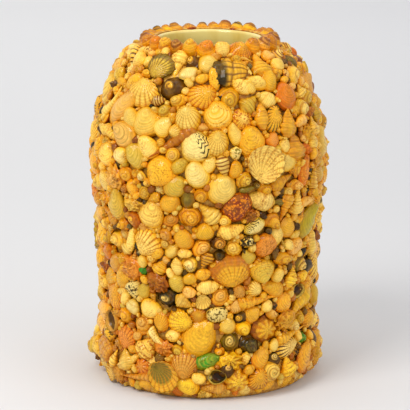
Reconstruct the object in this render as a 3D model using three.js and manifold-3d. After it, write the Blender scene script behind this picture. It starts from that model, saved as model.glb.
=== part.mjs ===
// Jar covered all over with sea shells set in putty.
// Millimetres, +Z up. The origin is the middle of the underside; -Y is the front.
// Wall places are given as an angle round the axis (0 at the front, positive to the right)
// and a share of the jar's height. A shell's turn is the way its beak or tip points,
// seen from outside: 0 to the right, 90 up.

import * as THREE from 'three';
import { mergeVertices } from 'three/addons/utils/BufferGeometryUtils.js';
import Module from 'manifold-3d';

const wasm = await Module();
wasm.setup();

// Jar
const JAR_HEIGHT = 324;
const JAR_RADIUS = 90;
const JAR_WALL = 5;
const JAR_FLOOR = 8;
const MOUTH_RADIUS = 47.5;
const NECK_LENGTH = 26;
const SHOULDER_RISE = 36;
const FOOT_ROUND = 8;
const JAR_SIDES = 30;
const FOOT_ANGLES = [-90, -45, 0];
const SHOULDER_ANGLES = [0, 22, 45, 68, 90];
const SHOULDER_INNER_ANGLES = [90, 60, 30, 0];

// Putty bed: thickness over the wall at shares of the straight body's height
const BED_BODY = [
  { share: 0.0, thick: 6 },
  { share: 0.02, thick: 10.5 },
  { share: 0.055, thick: 13.5 },
  { share: 0.1, thick: 14.5 },
  { share: 0.18, thick: 10 },
  { share: 0.38, thick: 9 },
  { share: 0.5, thick: 10.5 },
  { share: 0.64, thick: 13.5 },
  { share: 0.77, thick: 16 },
  { share: 0.84, thick: 16.5 },
  { share: 0.92, thick: 13.5 },
  { share: 0.99, thick: 9 },
];
// Putty bed above the body: how far out from the neck to the wall, and how far up to the lip
const BED_SHOULDER = [
  { out: 1.12, rise: 0.145 },
  { out: 1.0, rise: 0.316 },
  { out: 0.86, rise: 0.515 },
  { out: 0.76, rise: 0.632 },
  { out: 0.58, rise: 0.732 },
  { out: 0.4, rise: 0.808 },
  { out: 0.2, rise: 0.849 },
  { out: 0.02, rise: 0.872 },
];

// Small shells fused on the bed
const CELL_COLUMNS = 30;
const CELL_ROWS = 18;
const CELL_HEIGHT = 5.5;
const CELL_VARIATION = 1.6;
const CELL_ZIGZAG = 0.17;
const CELL_DRIFT = 0.22;
const CELL_SEED = 7;

// Shells that are pieces of their own
const SEAM_GAP = 0.5;
const CUT_TOLERANCE = 0.15;
const SKIRT = 6;
const SEAT_MARGIN = 1.5;
const SEAT_DEPTH = 1;
const RIM_SHELLS = 24;
const RIM_SHELL_WIDTH = 12.4;
const RIM_SHELL_HEIGHT = 16;
const RIM_SEAT_OUT = 4.6;
const RIM_SEAT_DROP = 8;
const RIM_LEAN = 30;
const RIM_VARIATION = 0.14;
const RIM_SEED = 23;

// Proportions of the shell forms, as shares of a shell's own length, width or height
const BEAK_PLACE = 0.34;
const CROWN_SHARE = 0.92;
const EDGE_SHARE = 0.12;
const DOME_POWER = 0.6;
const SKIRT_TAPER = 0.92;
const SCALLOP = { around: 12, narrowing: 0.16, ribDepth: 0.13 };
const COCKLE = { around: 12, narrowing: 0.08, ribDepth: 0.1 };
const CLAM = { around: 8, narrowing: 0.08, ribDepth: 0 };
const MUSSEL = { around: 8, narrowing: 0.22, ribDepth: 0 };
const VALVE_STEPS = [0.6, 1];
const CUP = { around: 10, narrowing: 0.08, bowl: 1 };
const CUP_SECTION = [
  { step: 0.5, rise: 0.3 },
  { step: 0.88, rise: 0.92 },
  { step: 1, rise: 1 },
];
const LIMPET = { around: 12, narrowing: 0.05, ribDepth: 0.08, peak: 0.06 };
const MOON_SNAIL = { around: 8, taper: 0.8, rises: [0.92, 0.86, 0.72, 0.15] };
const TOP_SNAIL = { around: 8, taper: 0.8, rises: [0.76, 0.66, 0.4, 0.1] };
const SNAIL_PEAK = 0.14;
const SNAIL_WINDING = 0.28;
const WHORL_STEPS = [0.32, 0.45, 0.8, 1];
const WHELK = { whorls: 4, swell: 1.5, spines: 0.08 };
const MUREX = { whorls: 4, swell: 1.4, spines: 0.22 };
const AUGER = { whorls: 5, swell: 1.1, spines: 0 };
const TURRET = { whorls: 4, swell: 1.1, spines: 0 };
const LYING = { sides: 6, tip: 0.1, seam: 0.8, belly: 0.9, axis: 0.4, mouth: 0.3 };
const WHORL_SEAM = 0.12;
const WHORL_BELLY = 0.6;
const RIM_FORM = { sides: 6, depth: 0.8 };
const RIM_POINTED = [{ rise: 0.72, girth: 0.6 }, { rise: 0.3, girth: 1 }];
const RIM_BROAD = [{ rise: 0.8, girth: 0.66 }, { rise: 0.4, girth: 1 }];

const NECK_RADIUS = MOUTH_RADIUS + JAR_WALL;
const NECK_FOOT = JAR_HEIGHT - NECK_LENGTH;
const BODY_TOP = NECK_FOOT - SHOULDER_RISE;

// One repeatable stream of numbers from 0 to 1
function numberStream(seed) {
  let state = seed;
  return () => {
    state = (state * 1664525 + 1013904223) % 4294967296;
    return state / 4294967296;
  };
}

// A closed solid from points and triangles, turned the right way out
function makeSolid(points, triangles) {
  const vertProperties = new Float32Array(points.flatMap((p) => [p.x, p.y, p.z]));
  let volume = 0;
  for (const [a, b, c] of triangles) {
    volume += points[a].dot(new THREE.Vector3().crossVectors(points[b], points[c]));
  }
  const facing = volume > 0 ? triangles : triangles.map(([a, b, c]) => [a, c, b]);
  const triVerts = new Uint32Array(facing.flat());
  return new wasm.Manifold(new wasm.Mesh({ numProp: 3, vertProperties, triVerts }));
}

function solidFromGeometry(geometry) {
  geometry.deleteAttribute('normal');
  geometry.deleteAttribute('uv');
  const merged = mergeVertices(geometry, 1e-4);
  const place = merged.getAttribute('position');
  const points = [];
  for (let i = 0; i < place.count; i += 1) {
    points.push(new THREE.Vector3().fromBufferAttribute(place, i));
  }
  const triangles = [];
  const index = merged.getIndex().array;
  for (let i = 0; i < index.length; i += 3) {
    const [a, b, c] = [index[i], index[i + 1], index[i + 2]];
    if (a !== b && b !== c && c !== a) triangles.push([a, b, c]);
  }
  return makeSolid(points, triangles);
}

function geometryFromSolid(solid) {
  const mesh = solid.getMesh();
  const geometry = new THREE.BufferGeometry();
  geometry.setAttribute('position', new THREE.BufferAttribute(mesh.vertProperties, 3));
  geometry.setIndex(new THREE.BufferAttribute(mesh.triVerts, 1));
  geometry.computeVertexNormals();
  return geometry;
}

// The largest body of a solid, without the crumbs that a cut leaves
function mainBody(solid) {
  const bodies = solid.decompose();
  const body = bodies.reduce((best, each) => (each.volume() > best.volume() ? each : best));
  return body.simplify(CUT_TOLERANCE);
}

function turned(profile) {
  const lathe = new THREE.LatheGeometry(profile, JAR_SIDES);
  lathe.rotateX(Math.PI / 2);
  return solidFromGeometry(lathe);
}

// Jar profile from the middle of the foot up to the top of the neck, grown outwards
function outerProfile(grow) {
  const profile = [new THREE.Vector2(0, -grow)];
  for (const degrees of FOOT_ANGLES) {
    const a = THREE.MathUtils.degToRad(degrees);
    const round = FOOT_ROUND + grow;
    profile.push(new THREE.Vector2(
      JAR_RADIUS - FOOT_ROUND + round * Math.cos(a),
      FOOT_ROUND + round * Math.sin(a),
    ));
  }
  for (const degrees of SHOULDER_ANGLES) {
    const a = THREE.MathUtils.degToRad(degrees);
    profile.push(new THREE.Vector2(
      NECK_RADIUS + (JAR_RADIUS - NECK_RADIUS) * Math.cos(a) + grow,
      BODY_TOP + SHOULDER_RISE * Math.sin(a) + grow,
    ));
  }
  profile.push(new THREE.Vector2(NECK_RADIUS + grow, JAR_HEIGHT + grow));
  return profile;
}

function makeJar() {
  const profile = outerProfile(0);
  const shoulderInner = SHOULDER_INNER_ANGLES.map((degrees) => {
    const a = THREE.MathUtils.degToRad(degrees);
    return new THREE.Vector2(
      MOUTH_RADIUS + (JAR_RADIUS - NECK_RADIUS) * Math.cos(a),
      BODY_TOP - JAR_WALL + SHOULDER_RISE * Math.sin(a),
    );
  });
  profile.push(
    new THREE.Vector2(MOUTH_RADIUS, JAR_HEIGHT),
    ...shoulderInner,
    new THREE.Vector2(JAR_RADIUS - JAR_WALL, JAR_FLOOR + FOOT_ROUND),
    new THREE.Vector2(JAR_RADIUS - JAR_WALL - FOOT_ROUND, JAR_FLOOR),
    new THREE.Vector2(0, JAR_FLOOR),
  );
  return turned(profile);
}

// The jar's outer form, filled and grown, for cutting what is set against it
function jarTool(grow) {
  const profile = outerProfile(grow);
  profile.push(new THREE.Vector2(0, JAR_HEIGHT + grow));
  return turned(profile);
}

// Profile of the putty bed as one smooth curve, from the foot to the neck
function bedCurve() {
  const body = BED_BODY.map(({ share, thick }) => (
    new THREE.Vector2(JAR_RADIUS + thick, BODY_TOP * share)
  ));
  const shoulder = BED_SHOULDER.map(({ out, rise }) => new THREE.Vector2(
    NECK_RADIUS + (JAR_RADIUS - NECK_RADIUS) * out,
    BODY_TOP + (JAR_HEIGHT - BODY_TOP) * rise,
  ));
  return new THREE.SplineCurve([...body, ...shoulder]);
}

const BED = bedCurve();

// Place and directions on the bed at a share of its profile's length
function bedFrame(share, angle) {
  const { x: radius, y: height } = BED.getPointAt(share);
  const { x: along, y: climb } = BED.getTangentAt(share);
  const out = new THREE.Vector3(Math.sin(angle), -Math.cos(angle), 0);
  const across = new THREE.Vector3(Math.cos(angle), Math.sin(angle), 0);
  const up = out.clone().multiplyScalar(along).setZ(climb);
  const normal = new THREE.Vector3().crossVectors(across, up);
  const point = out.clone().multiplyScalar(radius).setZ(height);
  return { point, across, up, normal };
}

// Share of the bed's length at which it reaches a height
function bedShare(height) {
  let low = 0;
  let high = 1;
  for (let step = 0; step < 24; step += 1) {
    const middle = (low + high) / 2;
    if (BED.getPointAt(middle).y < height) low = middle;
    else high = middle;
  }
  return low;
}

// Shells of the wall: angle and turn in degrees, rise as a share of the jar's height,
// length, width and height in millimetres
const WALL_SHELLS = {
  scallop: [
    { angle: 12.5, rise: 0.375, long: 36, wide: 28, high: 10, turn: 270 },
    { angle: -41, rise: 0.876, long: 26.5, wide: 24, high: 9, turn: 88 },
    { angle: -33.5, rise: 0.455, long: 24, wide: 24, high: 9, turn: 250 },
    { angle: -14, rise: 0.108, long: 25, wide: 23, high: 9, turn: 270 },
    { angle: 150, rise: 0.633, long: 30, wide: 27, high: 10, turn: 90 },
  ],
  cockle: [
    { angle: -4, rise: 0.881, long: 27, wide: 22, high: 10, turn: 20 },
  ],
  clam: [
    { angle: 5, rise: 0.806, long: 25, wide: 24, high: 9, turn: 100 },
    { angle: -7, rise: 0.722, long: 28, wide: 26, high: 9, turn: 80 },
    { angle: 23, rise: 0.752, long: 27, wide: 23, high: 9, turn: 95 },
    { angle: 14.5, rise: 0.571, long: 27, wide: 24, high: 9, turn: 35 },
    { angle: 53, rise: 0.858, long: 25, wide: 18.5, high: 8, turn: 100 },
    { angle: 31, rise: 0.37, long: 22, wide: 20, high: 8, turn: 265 },
    { angle: -150, rise: 0.37, long: 28, wide: 25, high: 9, turn: 90 },
  ],
  cup_shell: [
    { angle: 29.5, rise: 0.652, long: 29, wide: 29, high: 6, turn: 265 },
    { angle: -26, rise: 0.071, long: 28, wide: 26, high: 6, turn: 250 },
    { angle: 180, rise: 0.278, long: 28, wide: 26, high: 6, turn: 90 },
  ],
  mussel: [
    { angle: -58, rise: 0.821, long: 38, wide: 18.5, high: 8, turn: 50 },
    { angle: 65, rise: 0.483, long: 36, wide: 20.5, high: 9, turn: 60 },
    { angle: -170, rise: 0.787, long: 34, wide: 18, high: 8, turn: 50 },
  ],
  limpet: [
    { angle: -25.5, rise: 0.658, long: 27, wide: 25, high: 10, turn: 90 },
    { angle: 31.5, rise: 0.193, long: 22.5, wide: 22.5, high: 9, turn: 90 },
    { angle: -4.5, rise: 0.185, long: 36, wide: 28, high: 6, turn: 60 },
    { angle: -100, rise: 0.185, long: 30, wide: 26, high: 9, turn: 90 },
  ],
  moon_snail: [
    { angle: -22.5, rise: 0.895, long: 24, wide: 22, high: 13, turn: 20 },
    { angle: 15, rise: 0.879, long: 20, wide: 19, high: 11, turn: 230 },
    { angle: 110, rise: 0.741, long: 24, wide: 22, high: 13, turn: 60 },
  ],
  top_snail: [
    { angle: -24, rise: 0.293, long: 19.5, wide: 19.5, high: 12, turn: 90 },
    { angle: 24, rise: 0.142, long: 18.5, wide: 17, high: 12, turn: 260 },
  ],
  whelk: [
    { angle: 66.5, rise: 0.24, long: 32, wide: 17, high: 11, turn: 215 },
    { angle: -38, rise: 0.148, long: 26, wide: 18.5, high: 12, turn: 60 },
    { angle: -110, rise: 0.556, long: 32, wide: 18, high: 12, turn: 60 },
  ],
  murex: [
    { angle: 17, rise: 0.946, long: 28, wide: 21, high: 13, turn: 0 },
  ],
  auger: [
    { angle: -25, rise: 0.75, long: 40, wide: 9, high: 7, turn: 215 },
  ],
  turret: [
    { angle: 27, rise: 0.283, long: 30.5, wide: 10.5, high: 8, turn: 5 },
  ],
};

// Points of a closed outline that narrows a little towards the beak at +Y
function outlinePoint(shell, i, around, narrowing) {
  const a = (2 * Math.PI * i) / around;
  const width = (shell.wide / 2) * (1 - narrowing * Math.cos(a));
  return new THREE.Vector2(-width * Math.sin(a), (shell.long / 2) * Math.cos(a));
}

// Points in rings, from the crown down, closed by a point at either end
function ringStack(crown, rings, base) {
  const around = rings[0].length;
  const points = [crown, ...rings.flat(), base];
  const last = points.length - 1;
  const at = (ring, i) => 1 + ring * around + (i % around);
  const triangles = [];
  for (let i = 0; i < around; i += 1) {
    triangles.push([0, at(0, i), at(0, i + 1)]);
    for (let ring = 1; ring < rings.length; ring += 1) {
      triangles.push([at(ring - 1, i), at(ring, i), at(ring, i + 1)]);
      triangles.push([at(ring - 1, i), at(ring, i + 1), at(ring - 1, i + 1)]);
    }
    triangles.push([last, at(rings.length - 1, i + 1), at(rings.length - 1, i)]);
  }
  return makeSolid(points, triangles);
}

// Height of a dome over an oval, from 1 at its middle to a little at its edge
function domeShare(shell, point) {
  const share = Math.hypot((2 * point.x) / shell.wide, (2 * point.y) / shell.long);
  return EDGE_SHARE + (1 - EDGE_SHARE) * Math.max(0, 1 - share ** 2) ** DOME_POWER;
}

// A ring of points made narrower and set below the bed
function skirtRing(ring, taper) {
  return ring.map((point) => new THREE.Vector3(point.x * taper, point.y * taper, -SKIRT));
}

function outlineRing(shell, { around, narrowing = 0 }) {
  const edge = [];
  for (let i = 0; i < around; i += 1) edge.push(outlinePoint(shell, i, around, narrowing));
  return edge;
}

// Rings of a one-piece shell scaled about its beak or peak, with its height by rule
function shellRings(shell, form, peak, steps, heightAt) {
  const edge = outlineRing(shell, form);
  const rings = steps.map((step) => edge.map((point, i) => {
    const flat = peak.clone().lerp(point, step);
    return new THREE.Vector3(flat.x, flat.y, heightAt(flat, step, i));
  }));
  rings.push(skirtRing(edge, SKIRT_TAPER));
  return rings;
}

// Half shell with its beak at +Y; ribs run from the beak to the edge
function bivalve(shell, form) {
  const beak = new THREE.Vector2(0, shell.long * BEAK_PLACE);
  const rib = (i, step) => (i % 2 === 0 ? form.ribDepth : -form.ribDepth) * step;
  const heightAt = (flat, step, i) => (
    shell.high * domeShare(shell, flat) * (1 + rib(i, step))
  );
  const rings = shellRings(shell, form, beak, VALVE_STEPS, heightAt);
  const crown = new THREE.Vector3(beak.x, beak.y, shell.high * CROWN_SHARE);
  return ringStack(crown, rings, new THREE.Vector3(0, 0, -SKIRT));
}

// Half shell lying open side out: a raised margin round a hollow
function cupShell(shell) {
  const middle = new THREE.Vector2(0, 0);
  const steps = CUP_SECTION.map(({ step }) => step);
  const heightAt = (flat, step) => shell.high * CUP_SECTION[steps.indexOf(step)].rise;
  const rings = shellRings(shell, CUP, middle, steps, heightAt);
  return ringStack(new THREE.Vector3(0, 0, CUP.bowl), rings, new THREE.Vector3(0, 0, -SKIRT));
}

// Low cone with ribs from its peak to a scalloped edge
function limpet(shell) {
  const peak = new THREE.Vector2(0, shell.long * LIMPET.peak);
  const rib = (i) => (i % 2 === 0 ? 1 + LIMPET.ribDepth : 1 - LIMPET.ribDepth);
  const heightAt = (flat, step, i) => shell.high * (1 + EDGE_SHARE - step) * rib(i);
  const rings = shellRings(shell, LIMPET, peak, [1], heightAt);
  const crown = new THREE.Vector3(peak.x, peak.y, shell.high);
  return ringStack(crown, rings, new THREE.Vector3(0, 0, -SKIRT));
}

// Round snail seen on its spire: whorls wind down and out from the peak
function roundSnail(shell, form) {
  const peak = new THREE.Vector2(0, shell.long * SNAIL_PEAK);
  const edge = outlineRing(shell, form);
  const rings = WHORL_STEPS.map((whorl, k) => edge.map((point, i) => {
    const winding = whorl < 1 ? 1 + SNAIL_WINDING * (i / form.around - 0.5) : 1;
    const flat = peak.clone().lerp(point, whorl * winding);
    return new THREE.Vector3(flat.x, flat.y, shell.high * form.rises[k]);
  }));
  rings.push(skirtRing(edge, form.taper));
  const crown = new THREE.Vector3(peak.x, peak.y, shell.high);
  return ringStack(crown, rings, new THREE.Vector3(0, 0, -SKIRT));
}

// Long snail on its side, tip at +Y: whorls step out from the tip to the body and mouth
function lyingSnail(shell, { whorls, swell, spines }) {
  const { sides } = LYING;
  const stations = [];
  for (let k = 0; k < whorls; k += 1) {
    const start = (k / whorls) ** swell;
    const end = ((k + 1) / whorls) ** swell;
    const step = end - start;
    stations.push({ along: start + step * WHORL_SEAM, girth: LYING.tip + LYING.seam * start });
    stations.push({ along: start + step * WHORL_BELLY, girth: LYING.tip + LYING.belly * end });
  }
  const rings = stations.map(({ along, girth }, ring) => {
    const circle = [];
    for (let i = 0; i < sides; i += 1) {
      const a = (2 * Math.PI * i) / sides;
      const spine = ring % 2 === 1 && i % 2 === 0 ? 1 + spines : 1;
      circle.push(new THREE.Vector3(
        (shell.wide / 2) * girth * spine * Math.cos(a),
        shell.long * (0.5 - along),
        shell.high * (LYING.axis + (1 - LYING.axis) * girth * spine * Math.sin(a)),
      ));
    }
    return circle;
  });
  const tip = new THREE.Vector3(0, shell.long / 2, shell.high * LYING.axis);
  const mouth = new THREE.Vector3(0, -shell.long / 2, shell.high * LYING.mouth);
  return ringStack(tip, rings, mouth);
}

const SHELL_FORMS = {
  scallop: (shell) => bivalve(shell, SCALLOP),
  cockle: (shell) => bivalve(shell, COCKLE),
  clam: (shell) => bivalve(shell, CLAM),
  cup_shell: (shell) => cupShell(shell),
  mussel: (shell) => bivalve(shell, MUSSEL),
  limpet: (shell) => limpet(shell),
  moon_snail: (shell) => roundSnail(shell, MOON_SNAIL),
  top_snail: (shell) => roundSnail(shell, TOP_SNAIL),
  whelk: (shell) => lyingSnail(shell, WHELK),
  murex: (shell) => lyingSnail(shell, MUREX),
  auger: (shell) => lyingSnail(shell, AUGER),
  turret: (shell) => lyingSnail(shell, TURRET),
};

const SHELL_COLOURS = {
  scallop: 0xd9a860,
  cockle: 0xd07a35,
  clam: 0xe6c27c,
  cup_shell: 0xdcb978,
  mussel: 0xc9b060,
  limpet: 0xd9a24a,
  moon_snail: 0x9a6a35,
  top_snail: 0x3a2c20,
  whelk: 0xe0b055,
  murex: 0x3d2320,
  auger: 0xb5722f,
  turret: 0xd8ab50,
  rim_shell: 0xb98a55,
};

function shellMaterial(kind) {
  return new THREE.MeshStandardMaterial({
    color: SHELL_COLOURS[kind],
    roughness: 0.35,
    metalness: 0,
  });
}

// A frame with its own directions as a matrix, turned about its normal
function seatMatrix(frame, degrees) {
  const matrix = new THREE.Matrix4().makeBasis(frame.across, frame.up, frame.normal);
  matrix.setPosition(frame.point);
  return matrix.multiply(
    new THREE.Matrix4().makeRotationZ(THREE.MathUtils.degToRad(degrees)),
  );
}

function wallShellSeats() {
  return Object.entries(WALL_SHELLS).flatMap(([kind, shells]) => (
    shells.map((shell, i) => {
      const angle = THREE.MathUtils.degToRad(shell.angle);
      const frame = bedFrame(bedShare(shell.rise * JAR_HEIGHT), angle);
      const matrix = seatMatrix(frame, shell.turn - 90);
      return { kind, name: `${kind}_${i + 1}`, shell, matrix, inverse: matrix.clone().invert() };
    })
  ));
}

const WALL_SEATS = wallShellSeats();

// True where a large shell sits on this point of the bed
function underLargeShell(point) {
  return WALL_SEATS.some(({ shell, inverse }) => {
    const local = point.clone().applyMatrix4(inverse);
    const x = local.x / (shell.wide / 2 + SEAT_MARGIN);
    const y = local.y / (shell.long / 2 + SEAT_MARGIN);
    return x * x + y * y < 1 && Math.abs(local.z) < CELL_HEIGHT;
  });
}

// Outer form of the crust: courses of six-sided raised cells, one for each small shell
function crustForm(grow) {
  const random = numberStream(CELL_SEED);
  const around = 2 * CELL_COLUMNS;
  const points = [];
  const rowShare = (row) => row / CELL_ROWS;
  for (let ring = 0; ring <= CELL_ROWS; ring += 1) {
    const isEnd = ring === 0 || ring === CELL_ROWS;
    for (let m = 0; m < around; m += 1) {
      const isLow = (m + 1 + ring) % 2 === 0;
      const zigzag = isEnd ? 0 : (isLow ? -CELL_ZIGZAG : CELL_ZIGZAG) / CELL_ROWS;
      const drift = isEnd ? 0 : ((random() - 0.5) * CELL_DRIFT) / CELL_ROWS;
      const sideways = (random() - 0.5) * CELL_DRIFT;
      const angle = ((m + sideways) * Math.PI) / CELL_COLUMNS;
      const frame = bedFrame(rowShare(ring) + zigzag + drift, angle);
      points.push(frame.point.addScaledVector(frame.normal, isEnd ? 0 : grow));
    }
  }
  const firstCell = points.length;
  for (let row = 0; row < CELL_ROWS; row += 1) {
    for (let column = 0; column < CELL_COLUMNS; column += 1) {
      const sideways = (random() - 0.5) * 2 * CELL_DRIFT;
      const drift = (random() - 0.5) * CELL_DRIFT;
      const variation = (random() - 0.5) * 2 * CELL_VARIATION;
      const angle = ((2 * column + 1 + (row % 2) + sideways) * Math.PI) / CELL_COLUMNS;
      const frame = bedFrame(rowShare(row + 0.5 + drift), angle);
      const seat = underLargeShell(frame.point);
      const lift = seat ? -SEAT_DEPTH : CELL_HEIGHT + variation;
      points.push(frame.point.addScaledVector(frame.normal, lift + grow));
    }
  }
  const foot = points.push(new THREE.Vector3(0, 0, 0)) - 1;
  const top = points.push(new THREE.Vector3(0, 0, points[CELL_ROWS * around].z)) - 1;
  const at = (ring, m) => ring * around + ((m + around) % around);
  const triangles = [];
  for (let row = 0; row < CELL_ROWS; row += 1) {
    for (let column = 0; column < CELL_COLUMNS; column += 1) {
      const left = 2 * column + (row % 2);
      const corners = [
        at(row, left),
        at(row, left + 1),
        at(row, left + 2),
        at(row + 1, left + 2),
        at(row + 1, left + 1),
        at(row + 1, left),
      ];
      const peak = firstCell + row * CELL_COLUMNS + column;
      corners.forEach((corner, k) => triangles.push([peak, corner, corners[(k + 1) % 6]]));
    }
  }
  for (let m = 0; m < around; m += 1) {
    triangles.push([foot, at(0, m + 1), at(0, m)]);
    triangles.push([top, at(CELL_ROWS, m), at(CELL_ROWS, m + 1)]);
  }
  return makeSolid(points, triangles);
}

// Shells of the rim: alternately a pointed snail and a broad half shell on end
function rimShell(i, random) {
  const pointed = i % 2 === 0;
  const { sides } = RIM_FORM;
  const levels = pointed ? RIM_POINTED : RIM_BROAD;
  const height = RIM_SHELL_HEIGHT * (1 - RIM_VARIATION + RIM_VARIATION * random());
  const depth = pointed ? 1 : RIM_FORM.depth;
  const rings = levels.map(({ rise, girth }) => {
    const circle = [];
    for (let k = 0; k < sides; k += 1) {
      const a = (2 * Math.PI * k) / sides;
      circle.push(new THREE.Vector3(
        (RIM_SHELL_WIDTH / 2) * girth * Math.cos(a),
        (RIM_SHELL_WIDTH / 2) * girth * depth * Math.sin(a),
        height * rise,
      ));
    }
    return circle;
  });
  rings.push(rings.at(-1).map((point) => new THREE.Vector3(point.x, point.y, -SKIRT)));
  return ringStack(new THREE.Vector3(0, 0, height), rings, new THREE.Vector3(0, 0, -SKIRT));
}

function rimMatrix(i) {
  const angle = (2 * Math.PI * i) / RIM_SHELLS;
  const radius = NECK_RADIUS + RIM_SEAT_OUT;
  const lean = THREE.MathUtils.degToRad(RIM_LEAN);
  const matrix = new THREE.Matrix4().makeRotationZ(angle);
  matrix.multiply(new THREE.Matrix4().makeTranslation(0, -radius, JAR_HEIGHT - RIM_SEAT_DROP));
  return matrix.multiply(new THREE.Matrix4().makeRotationX(lean));
}

const shellJar = new THREE.Group();

function addPiece(name, solid, material) {
  const mesh = new THREE.Mesh(geometryFromSolid(solid), material);
  mesh.name = name;
  shellJar.add(mesh);
}

const jarGap = jarTool(SEAM_GAP);
const crustGap = crustForm(SEAM_GAP);
const glaze = new THREE.MeshStandardMaterial({ color: 0xd9cf93, roughness: 0.12, metalness: 0 });
const putty = new THREE.MeshStandardMaterial({ color: 0xc98a2e, roughness: 0.4, metalness: 0 });

addPiece('jar', makeJar(), glaze);
addPiece('shell_crust', crustForm(0).subtract(jarGap), putty);

for (const { kind, name, shell, matrix } of WALL_SEATS) {
  const placed = SHELL_FORMS[kind](shell).transform(matrix.elements);
  addPiece(name, mainBody(placed.subtract(crustGap)), shellMaterial(kind));
}

const rimRandom = numberStream(RIM_SEED);
for (let i = 0; i < RIM_SHELLS; i += 1) {
  const placed = rimShell(i, rimRandom).transform(rimMatrix(i).elements);
  const name = `rim_shell_${String(i + 1).padStart(2, '0')}`;
  addPiece(name, mainBody(placed.subtract(crustGap).subtract(jarGap)), shellMaterial('rim_shell'));
}

export default shellJar;
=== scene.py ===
"""Shell-encrusted jar: shells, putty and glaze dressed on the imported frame, with a studio around it."""
from __future__ import annotations

import logging
import math
import random
from dataclasses import dataclass, field
from enum import Enum
from typing import Iterable, NamedTuple, Optional, Sequence

import bpy
import numpy as np
from mathutils import Matrix, Vector

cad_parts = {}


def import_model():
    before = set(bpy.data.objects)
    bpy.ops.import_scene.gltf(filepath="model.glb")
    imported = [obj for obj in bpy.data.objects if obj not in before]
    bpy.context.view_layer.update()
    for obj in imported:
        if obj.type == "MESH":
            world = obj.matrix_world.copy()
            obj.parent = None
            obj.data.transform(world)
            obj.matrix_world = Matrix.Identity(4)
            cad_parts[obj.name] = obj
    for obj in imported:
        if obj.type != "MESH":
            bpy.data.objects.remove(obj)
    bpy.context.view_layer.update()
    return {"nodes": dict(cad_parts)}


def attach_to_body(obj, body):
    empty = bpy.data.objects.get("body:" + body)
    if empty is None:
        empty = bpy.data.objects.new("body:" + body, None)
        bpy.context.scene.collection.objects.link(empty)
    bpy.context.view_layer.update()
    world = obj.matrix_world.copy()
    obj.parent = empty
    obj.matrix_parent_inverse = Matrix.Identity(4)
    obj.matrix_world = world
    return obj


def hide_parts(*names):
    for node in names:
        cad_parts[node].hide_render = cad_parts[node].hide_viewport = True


LOG = logging.getLogger("shell_jar")
MM = 0.001
VALVE_TAPER = 0.86
VALVE_DEPTH = 0.3
SNAIL_DEPTH = 0.35
BODY = "root"
SEED = 11


def linear(red: float, green: float, blue: float) -> tuple[float, float, float, float]:
    """Turn a display colour into a scene-linear one.

    Args:
        red: first channel, 0 to 255.
        green: second channel.
        blue: third channel.

    Returns:
        The linear colour with full alpha.
    """
    def one(value: float) -> float:
        """Turn one channel."""
        share = value / 255
        return share / 12.92 if share <= 0.04045 else ((share + 0.055) / 1.055) ** 2.4
    return one(red), one(green), one(blue), 1.0


class Hue(Enum):
    """Named colours of varnished shell, as display values."""

    IVORY = (250, 222, 132)
    PALE = (251, 212, 104)
    HONEY = (249, 206, 92)
    GOLD = (240, 180, 40)
    YELLOW = (252, 204, 46)
    AMBER = (240, 176, 42)
    ORANGE = (226, 128, 20)
    CORAL = (236, 150, 52)
    RUSSET = (190, 112, 26)
    CHESTNUT = (138, 74, 18)
    MAROON = (136, 52, 22)
    UMBER = (82, 52, 12)
    CHARCOAL = (38, 32, 14)
    OLIVE = (218, 180, 62)
    MOSS = (130, 114, 34)
    LIME = (194, 174, 42)
    EMERALD = (52, 148, 34)
    PINK = (246, 190, 92)
    TAN = (222, 160, 60)
    SAND = (240, 202, 104)


class Form(Enum):
    """Kinds of shell; the value is the piece of the scene that holds them."""

    SCALLOP = "scallops"
    COCKLE = "cockles"
    CLAM = "clams"
    CUP = "cup_shells"
    MUSSEL = "mussels"
    LIMPET = "limpets"
    STAR = "star_limpets"
    MOON = "moon_snails"
    TOP = "top_snails"
    WINKLE = "winkles"
    WHELK = "whelks"
    MUREX = "murex_shells"
    TURRET = "turrets_and_augers"
    CONE = "cone_shells"
    BEAN = "cowries_and_olives"
    CORAL = "coral_lumps"
    GRIT = "small_shells"
    TUSK = "tusk_shells"
    MOUTH = "open_snails"


class Mark(Enum):
    """Markings of a shell: shares of rays, rings, spots and zigzag, and how far its tip is coloured.

    Below 0 the last one is the share from which the ribs of the margin are coloured instead.
    """

    PLAIN = (0.0, 0.0, 0.0, 0.0, 0.0)
    RAYS = (1.0, 0.0, 0.0, 0.0, 0.0)
    RINGS = (0.0, 0.9, 0.0, 0.0, 0.0)
    SPOTS = (0.0, 0.0, 1.0, 0.0, 0.0)
    ZIGZAG = (0.0, 0.0, 0.0, 1.0, 0.0)
    SOFT_RAYS = (0.5, 0.0, 0.0, 0.0, 0.0)
    SOFT_RINGS = (0.0, 0.34, 0.0, 0.0, 0.0)
    SOFT_SPOTS = (0.0, 0.0, 0.4, 0.0, 0.0)
    EYE = (0.0, 0.0, 0.0, 0.0, 0.2)
    TIP = (0.0, 0.0, 0.0, 0.0, 0.32)
    HALF = (0.0, 0.0, 0.0, 0.0, 0.55)
    HOLLOW = (0.0, 0.0, 0.0, 0.0, 0.74)
    CAP = (0.0, 0.2, 0.0, 0.0, 0.6)
    FINGERS = (0.0, 0.0, 0.0, 0.0, 0.6)
    BAND = (0.0, 0.0, 0.0, 0.0, -0.36)


F = Form
H = Hue
M = Mark


class Shell(NamedTuple):
    """One shell read from the photograph.

    Attributes:
        form: its kind.
        x, y: its middle in the photograph, in pixels.
        length, width: its size in the photograph, in pixels.
        turn: the way its beak or tip points, in degrees, 0 to the right and 90 up.
        hue: its main colour.
        mark: its markings.
        second: the colour of the markings.
    """

    form: Form
    x: float
    y: float
    length: float
    width: float
    turn: float
    hue: Hue
    mark: Mark = Mark.PLAIN
    second: Hue = Hue.RUSSET


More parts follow.
